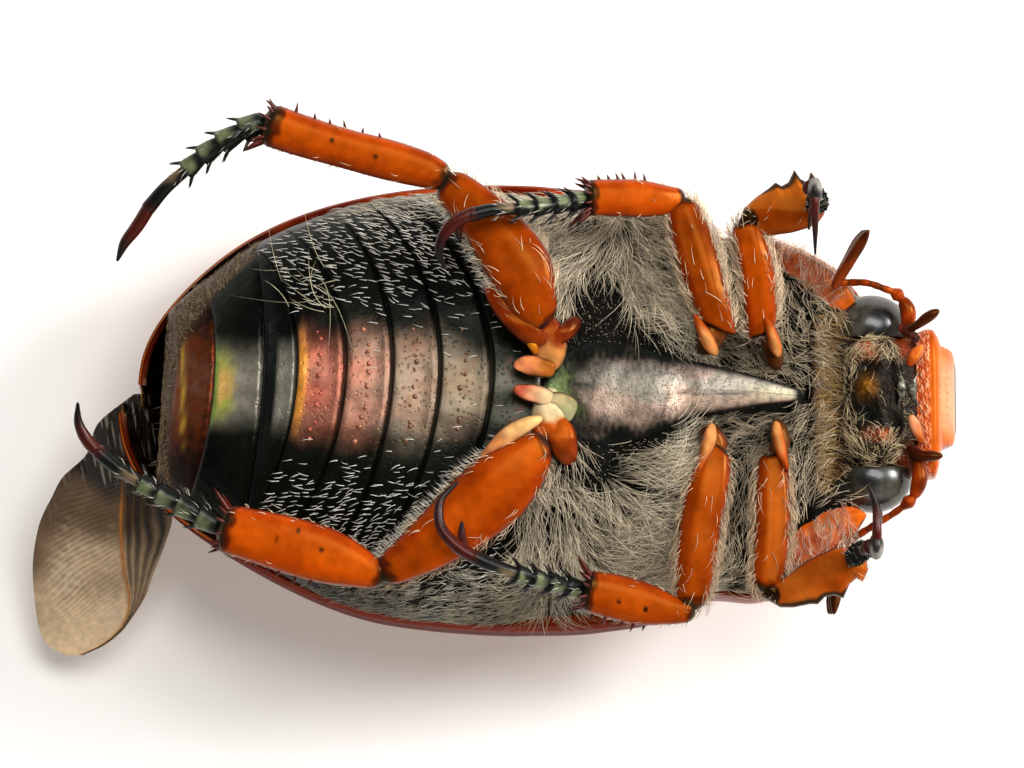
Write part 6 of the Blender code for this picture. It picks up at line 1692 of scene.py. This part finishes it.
def wing_tint(place, depth, across, lengthwise, plain, ribs, folds, veins):
    """Brown to pale straw from the root to the tip, with smoky folds and orange veins, dark at the root with
    painted shade, streaked with painted highlights.
    """
    pale = fade(3.2, 7.4, depth + 0.7 * ripple(place, 1.2, 81) - 1.2 * fade(0.35, 0.0, across))
    tint = blend(colour(104, 78, 50), colour(238, 206, 164), pale)
    tint = blend(tint, colour(70, 48, 28), 0.5 * fade(-0.3, 0.9, ribs))
    veil = fade(0.1, 0.9, 0.6 * ripple(place, 0.8, 86) + 0.5 * ripple(place, 0.2, 99)) * fade(3.6, 5.4, depth)
    tint = blend(tint, colour(226, 204, 172), 0.45 * veil * plain)
    smoke = fade(0.61, 0.66, across) * (0.6 + 0.4 * folds)
    tint = blend(tint, colour(30, 18, 10), smoke * mix(1.0, 0.6, fade(4.0, 7.0, depth)))
    tint = blend(tint, colour(186, 110, 24), veins)
    # Painted shade at the root, where it runs out from under the wing case.
    dark = fade(4.1, 2.3, depth + 0.5 * ripple(place, 0.7, 89))
    tint = blend(tint, colour(18, 13, 8), 0.95 * dark)
    # Pale streaks over the dark root, painted highlights on the crumpled membrane.
    return blend(tint, colour(150, 142, 126), 0.6 * dark * fade(0.5, 0.85, ripple(lengthwise, 0.05, 85)))


# The coat

STROKES = (  # x and y of a place, and the way the hair lies there
    (1.7, 4.6, -0.5, -1), (1.6, 3.4, -0.5, -1), (1.8, 2.3, -0.3, -1), (2.6, 4.6, -0.2, -1),
    (3.2, 4.4, 0.5, -1), (3.0, 3.2, 0.5, -1), (4.2, 4.4, 0.9, -0.9), (4.2, 3.3, 1, -0.7),
    (4.0, 2.3, 1, -0.35), (5.0, 3.6, 0.7, -1), (5.1, 2.4, 0.8, -0.8), (2.8, 2.0, 0.4, -1),
    (3.2, 1.3, 1, -0.3), (5.2, 1.4, 1, -0.4), (1.6, -2.4, 0.3, -1), (1.4, -3.4, 0.2, -1),
    (1.2, -4.6, 0.3, -1), (1.6, -5.6, 0.5, -1), (2.3, -3.0, 0.1, -1), (2.6, -3.8, 0.5, -1),
    (3.2, -2.2, 1, 0.2), (3.4, -3.2, 1, -0.4), (3.2, -4.6, 1, 0.1), (4.2, -2.4, 1, -0.2),
    (4.3, -3.6, 1, 0.5), (4.3, -4.8, 1, 0.5), (3.0, -5.8, 1, 0.4), (4.9, -3.4, 1, 0.6), (4.8, -5.6, 1, 0.3),
    (-1.0, 5.0, -1, 0), (-1.0, -5.0, -1, 0), (0.3, 5.2, -0.8, -0.3), (0.3, -5.6, -0.9, 0.1),
    (6.6, 3.0, 0.1, -1), (6.6, 4.6, 0, -1), (6.7, -3.4, 0.2, 1), (6.7, -5.0, 0.1, 1), (8.4, 2.4, 0.2, -1),
    (8.4, 3.6, 0.3, -1), (8.5, -3.2, 0.2, 1), (8.6, -4.6, 0.3, 1), (9.0, 1.2, 0.7, -0.4),
    (9.0, -1.6, 0.7, 0.4), (8.2, 4.6, 0.1, 1), (9.4, 4.0, 0.5, 1), (8.4, -5.4, 0.1, -1),
    (9.8, -4.6, 0.5, -1),
)
WOOL_GAPS = (  # centres and half sizes of the dark gaps beside the polished breast plate
    ((2.5, 2.4), (0.75, 1.15)), ((2.3, -2.35), (0.8, 0.6)),
)
LITTLE, LEAST = 1e-6, 1e-9   # added to shares, which may not all be zero
MOUTH = (10.92, -0.46, 5.5)  # a point inside the head, below the mouth


def wool_share(cells, side):
    """Long wool on one side of the polished plate, with dark gaps in it."""
    x, y = cells[..., 0], cells[..., 1]
    bare = np.maximum(y - along(BARE_RIGHT, x), along(BARE_LEFT, x) - y)
    start = mix(fade(0.7, 1.2, x), fade(0.1, 0.5, x), fade(-2.4, -3.0, y))
    region = fade(-0.4, 0.4, bare) * start * fade(5.9, 5.6, x) * fade(6.3, 5.6, np.abs(y + 0.6))
    for (gap_x, gap_y), (wide, high) in WOOL_GAPS:
        region = region * fade(0.75, 1.25, np.hypot((x - gap_x) / wide, (y - gap_y) / high))
    share = region * (0.2 + fade(-0.6, 0.5, ripple(cells, 0.4, 8))) + LITTLE
    return share * (y * side > -0.3 * side)


def flank_share(cells):
    """The outer corners behind the breast."""
    return fade(4.6, 5.6, np.abs(cells[..., 1] + 0.3)) * fade(1.4, 0.9, cells[..., 0]) + LITTLE


def side_share(cells):
    """The sides of the front belly plates."""
    return fade(5.0, 5.9, np.abs(cells[..., 1] + 0.3)) * fade(-6.8, -3.4, cells[..., 0]) + LITTLE


def curled_share(cells):
    """One round spot on the right of the rear belly plates."""
    return fade(1.2, 0.6, np.hypot(cells[..., 0] + 6.0, cells[..., 1] - 2.9)) + LEAST


def dust_share(cells):
    """The edge of the polished plate."""
    x, y = cells[..., 0], np.abs(cells[..., 1])
    return fade(0.45, 0.1, polished_area(cells)) * fade(3.4, 2.6, y) * fade(5.6, 5.2, x) + LITTLE


def front_share(cells):
    """Both sides of the front of the breast, round the roots of the front legs."""
    x, side = cells[..., 0], np.abs(cells[..., 1] + 0.45)
    reach = fade(4.3, 3.7, side + fade(8.2, 9.6, x) * 0.9)
    reach = mix(fade(6.0, 5.3, side), reach, fade(7.4, 8.2, x))
    return fade(5.6, 5.8, x) * fade(0.25, 0.6, side) * reach + LITTLE


def margin_share(cells):
    """The pronotum's edge beside the head."""
    x, side = cells[..., 0], np.abs(cells[..., 1] + 0.45)
    return fade(7.0, 8.0, x) * fade(3.4, 4.2, side + fade(8.6, 10.2, x)) + LITTLE


def neck_share(cells):
    """The neck, below the middle of the head."""
    return fade(8.9, 9.2, cells[..., 0]) * fade(3.0, 2.2, np.abs(cells[..., 1] + 0.5)) + LITTLE


def tail_share(cells):
    """The rim round the tail."""
    x, z = cells[..., 0], cells[..., 2]
    return fade(-7.4, -8.4, x) * fade(5.65, 5.4, z) * (z > 4.4) + LITTLE


def mouth_share(cells):
    """A ring round the mouth's plate, open to the front, and two tufts on its sides."""
    x, y = cells[..., 0], cells[..., 1]
    off = np.hypot((x - MOUTH[0]) / 0.8, (y - MOUTH[1]) / MENTUM_SIZE[1])
    tufts = np.exp(-((y - 1.15) / 0.4) ** 2) + np.exp(-((y + 1.75) / 0.4) ** 2)
    front = fade(1.5, 1.0, np.abs(y - MOUTH[1]))
    ring = fade(0.8, 0.98, off) * mix(1.0, fade(11.7, 11.3, x), front)
    return 0.9 * ring + 0.8 * np.clip(tufts, 0, 1) * fade(11.6, 11.2, x) + 0.03


def skull_share(cells):
    """The underside of the skull."""
    return (cells[..., 2] > 6.3) * fade(12.4, 11.6, cells[..., 0]) + LITTLE


def fanned(places, x, y):
    """Level unit ways at places from their two parts, each of them one value or one for each place."""
    nothing = 0 * places[:, 0]
    return unit(np.stack((x + nothing, y + nothing, nothing), -1))


def combed_wool(places):
    """The lie of the long hair."""
    return combed(places, STROKES)


def outwards_way(places):
    """Away from the midline and a little forward."""
    return fanned(places, 0.35, np.sign(places[:, 1] + 0.4))


def backwards_way(places):
    """Away from a point on the rear belly plates."""
    return fanned(places, places[:, 0] + 7.2, places[:, 1] + 0.2)


def mouth_way(places):
    """Forward in the middle of the mouth's plate, and inwards in its tufts."""
    y, nothing = places[:, 1], 0 * places[:, 0]
    fan = np.stack((1 + nothing, 0.5 * np.sin(3 * y), nothing), -1)
    tuft = np.stack((0.3 + nothing, -np.sign(y + 0.3), nothing), -1)
    return unit(blend(fan, tuft, fade(0.8, 1.3, np.abs(y + 0.3))))


def coats(breast, belly, plate, part, mouth, skull):
    """All hair of the body and the head."""
    for name, side in (("right", 1), ("left", -1)):
        coat("wool_" + name, breast, 4000, combed_wool, length=1.5, radius=0.0165, lift=24,
             tint=colour(238, 222, 192), keep=lambda cells: wool_share(cells, side), curl=0.5, spread=0.09,
             segments=5, locks=0.9, root_shade=0.2)
    coat("wool_flank", breast, 900, (-1, 0, 0), length=0.8, radius=0.016, lift=22,
         tint=colour(226, 212, 184), keep=flank_share, curl=0.4, spread=0.2, locks=0.5)
    coat("wool_side", belly, 1500, (-1, 0, 0), length=0.6, radius=0.016, lift=22,
         tint=colour(226, 216, 194), keep=side_share, curl=0.3, spread=0.2, slot="green", locks=0.4)
    coat("hair_long", belly, 16, (-1, 0.3, 0), length=1.4, radius=0.016, lift=16,
         tint=colour(214, 204, 166), keep=curled_share, curl=1.1, spread=0.9, slot="green", segments=8,
         root_shade=0.8)
    coat("setae_breast", breast, 1500, combed_wool, length=0.1, radius=0.011, lift=30,
         tint=colour(214, 206, 184), keep=dust_share, segments=2, root_shade=0.8)
    coat("wool_front", breast, 2800, combed_wool, length=0.95, radius=0.016, lift=28,
         tint=colour(222, 204, 172), keep=front_share, curl=0.35, segments=4, locks=0.7, root_shade=0.15)
    coat("hair_margin", breast, 520, outwards_way, length=0.9, radius=0.015, lift=24,
         tint=colour(236, 178, 146), keep=margin_share, spread=0.15, segments=4, locks=0.4)
    coat("hair_neck", breast, 700, (1, 0, 0.1), length=0.85, radius=0.016, lift=18,
         tint=colour(176, 140, 84), keep=neck_share, spread=0.2)
    setae_rows(belly, plate, part)
    coat("hair_tail", belly, 1200, backwards_way, length=0.36, radius=0.013, lift=24,
         tint=colour(160, 138, 104), keep=tail_share, slot="green", spread=0.3)
    coat("hair_mentum", mouth, 760, mouth_way, length=0.42, radius=0.013, lift=38,
         tint=colour(226, 200, 156), keep=mouth_share, closed=True, slot="dark", spread=0.3, curl=1.5,
         segments=5, outwards=MOUTH, locks=0.6)
    coat("hair_skull", skull, 620, (1, 0, 0), length=0.42, radius=0.013, lift=36,
         tint=colour(206, 182, 136), keep=skull_share, closed=True, slot="dark", spread=0.4, curl=1.0,
         segments=4, outwards=(11.0, -0.5, 5.3), locks=0.5)


SETAE_ROWS = (0.16, 0.3, 0.44, 0.58, 0.72, 0.86)  # where the rows of bristles lie on each belly plate
SETAE_PLATES = 5             # how many plates have them
SETAE_STEP = 0.125


def setae_rows(grid, plate, part):
    """White bristles in rows across the belly plates, dense at the sides and none on the bright band."""
    normals = normals_of(grid)
    normals = normals * np.where(normals[..., 2:] < 0, -1, 1)
    shares = np.linspace(1, 0, grid.shape[1])
    roots, outs, maps = [], [], []
    for number in range(SETAE_PLATES):
        for share in SETAE_ROWS:
            row = row_at(plate, part, number, share)
            y = np.arange(-6.9, 6.6, SETAE_STEP)
            y = y + RNG.normal(size=len(y)) * 0.03
            kept = RNG.random(len(y)) < fade(1.3, 4.4, np.abs(y + 0.05)) ** 1.2 * 0.95 + 0.02
            y = y[kept & (y < grid[row, 2, 1]) & (y > grid[row, -3, 1])]
            across = np.interp(y, grid[row, ::-1, 1], shares)
            roots.append(np.stack(along_row(grid, grid, row, y), -1))
            outs.append(np.stack(along_row(grid, normals, row, y), -1))
            maps.append(np.stack((across, np.full(len(y), row / len(grid))), -1))
    roots, outs, uv = np.concatenate(roots), np.concatenate(outs), np.concatenate(maps)
    roots[:, 0] += RNG.normal(size=len(roots)) * 0.035
    side = np.clip(roots[:, 1] / 5, -1, 1)
    way = np.stack((-np.ones(len(roots)), 0.25 * side, np.zeros(len(roots))), -1)
    way = lie(unit(way + RNG.normal(size=way.shape) * 0.16), outs, 16)
    bend = np.cross(outs, way) * RNG.normal(size=(len(roots), 1)) * 0.25
    shades = colour(246, 242, 228) * RNG.uniform(0.6, 1.1, (len(roots), 1))
    lengths = RNG.uniform(0.2, 0.4, len(roots))
    stalks("setae_belly", roots, way, lengths, 0.0195, HAIR, shades, uv * 0.98 + 0.01, bend,
           root_shade=0.7)


def femur_comb(name, femur):
    """White bristles that stand off the rear edge of a hind femur."""
    rows = np.linspace(0.08, 0.93, 200)
    edge = math.pi if name.endswith("left") else 0.0
    spots = [at(femur, part, edge) for part in rows + RNG.normal(size=len(rows)) * 0.004]
    if np.mean([out[0] for _, out, _ in spots]) > 0:
        spots = [at(femur, part, math.pi - edge) for part in rows]
    roots = np.array([root - out * 0.05 for root, out, _ in spots])
    ways = np.array([out + ahead * 0.25 for _, out, ahead in spots]) + RNG.normal(size=(len(rows), 3)) * 0.12
    shades = colour(230, 222, 204) * RNG.uniform(0.6, 1.1, (len(rows), 1))
    lengths = RNG.uniform(0.3, 0.5, len(rows))
    uv = np.stack((np.full(len(rows), edge / (2 * math.pi)), rows), -1) * 0.98 + 0.01
    stalks("comb_" + name, roots, ways, lengths, 0.017, HAIR, shades, uv, segments=2)


def leg_hair(name, femur, tibia):
    """Rows of pale hair down the femur's edges, and a few long ones on the tibia."""
    hind = name.startswith("hind")
    if hind:
        femur_comb(name, femur)
    fringes = ("femur", femur, 210 if hind else 560, 0.76), ("tibia", tibia, 50, 0.4)
    for label, grid, count, length in fringes:
        middle = grid.mean(1)

        def edge_share(cells):
            wide = np.linalg.norm(np.abs(cells - middle[:-1, None])[..., :2], axis=-1)
            return fade(0.6, 1.0, wide / np.maximum(wide.max(1, keepdims=True), LITTLE)) + 0.03

        coat(f"hair_{label}_{name}", grid, count, tuple(unit(middle[-1] - middle[0])), length, 0.0135, 44,
             colour(236, 206, 168), edge_share, closed=True, outwards=middle[len(middle) // 2], spread=0.35,
             slot="orange", root_shade=0.8)


# The stage

FLOOR_SIZE = 0.6             # metres, as all lengths of the stage
FLOOR_LEVEL = -0.00002
LAMP_TARGET = (0, 0, 0.006)
SOFTBOXES = (  # name, place, size and power in watts
    ("softbox over the belly", (0.05, 0.11, 0.29), (0.22, 0.12), 0.72),
    ("softbox at the head", (0.27, 0.1, 0.17), (0.1, 0.1), 1.25),
    ("fill at the left", (0.02, -0.3, 0.2), (0.3, 0.12), 0.15),
)
PHOTO_PIXELS = 1024          # the width of the photo
MM_PER_PIXEL = 0.03          # at the level below
PHOTO_LEVEL = 8.5
CAMERA_AWAY = 500.0
SENSOR = 36


def white_floor():
    """White paper that glows a little, so that its shadows are pale."""
    bpy.ops.mesh.primitive_plane_add(size=FLOOR_SIZE, location=(0, 0, FLOOR_LEVEL))
    floor = bpy.context.object
    floor.name = "floor"
    paper = bpy.data.materials.new("white paper")
    paper.use_nodes = True
    looks = {"Base Color": (0.93, 0.9, 0.87, 1), "Roughness": 0.9, "Emission Color": (1.0, 0.94, 0.87, 1),
             "Emission Strength": 0.13}
    for socket, value in looks.items():
        paper.node_tree.nodes["Principled BSDF"].inputs[socket].default_value = value
    floor.data.materials.append(paper)


def room():
    """A pale room, brighter round the horizon than overhead."""
    world = bpy.data.worlds.new("soft room")
    bpy.context.scene.world = world
    world.use_nodes = True
    tree = world.node_tree
    sky = tree.nodes["Background"]
    sky.inputs["Color"].default_value = (1.0, 0.99, 0.97, 1)
    way = tree.nodes.new("ShaderNodeTexCoord").outputs["Generated"]
    split = tree.nodes.new("ShaderNodeSeparateXYZ")
    tree.links.new(way, split.inputs["Vector"])
    strength = ranged(tree, split.outputs["Z"], (0.0, 0.9), (0.55, 0.12))
    tree.links.new(strength, sky.inputs["Strength"])


def softbox(name, place, size, power):
    """A rectangular lamp that points at the beetle."""
    lamp = bpy.data.lights.new(name, "AREA")
    lamp.shape = "RECTANGLE"
    lamp.size, lamp.size_y = size
    lamp.energy = power
    made = bpy.data.objects.new(name, lamp)
    made.location = place
    made.rotation_euler = (Vector(LAMP_TARGET) - Vector(place)).to_track_quat("-Z", "Y").to_euler()
    bpy.context.scene.collection.objects.link(made)


def camera():
    """Straight down on the belly, with the head to the right."""
    lens = bpy.data.cameras.new("camera")
    lens.sensor_width = SENSOR
    lens.lens = SENSOR * CAMERA_AWAY / (PHOTO_PIXELS * MM_PER_PIXEL)
    lens.clip_start = 0.01
    made = bpy.data.objects.new("camera", lens)
    made.location = metres((0, 0, PHOTO_LEVEL + CAMERA_AWAY))
    bpy.context.scene.collection.objects.link(made)
    bpy.context.scene.camera = made


camera()
white_floor()
room()
for box in SOFTBOXES:
    softbox(*box)
bpy.context.scene.view_settings.view_transform = "Standard"
elytron("elytron_right", 1)
elytron("elytron_left", -1)
scutellum()
pronotum()
abdomen_grid, plate_of_row, part_of_row = abdomen()
thorax_grid = thorax()
process(thorax_grid)
margins(thorax_grid)
skull_grid, mentum_grid = head()
for leg_name, leg_parts in LEGS.items():
    leg_hair(leg_name, *leg(leg_name, leg_parts))
lobes()
for side_name in ("right", "left"):
    antenna(side_name)
hindwing()
coats(thorax_grid, abdomen_grid, plate_of_row, part_of_row, mentum_grid, skull_grid)
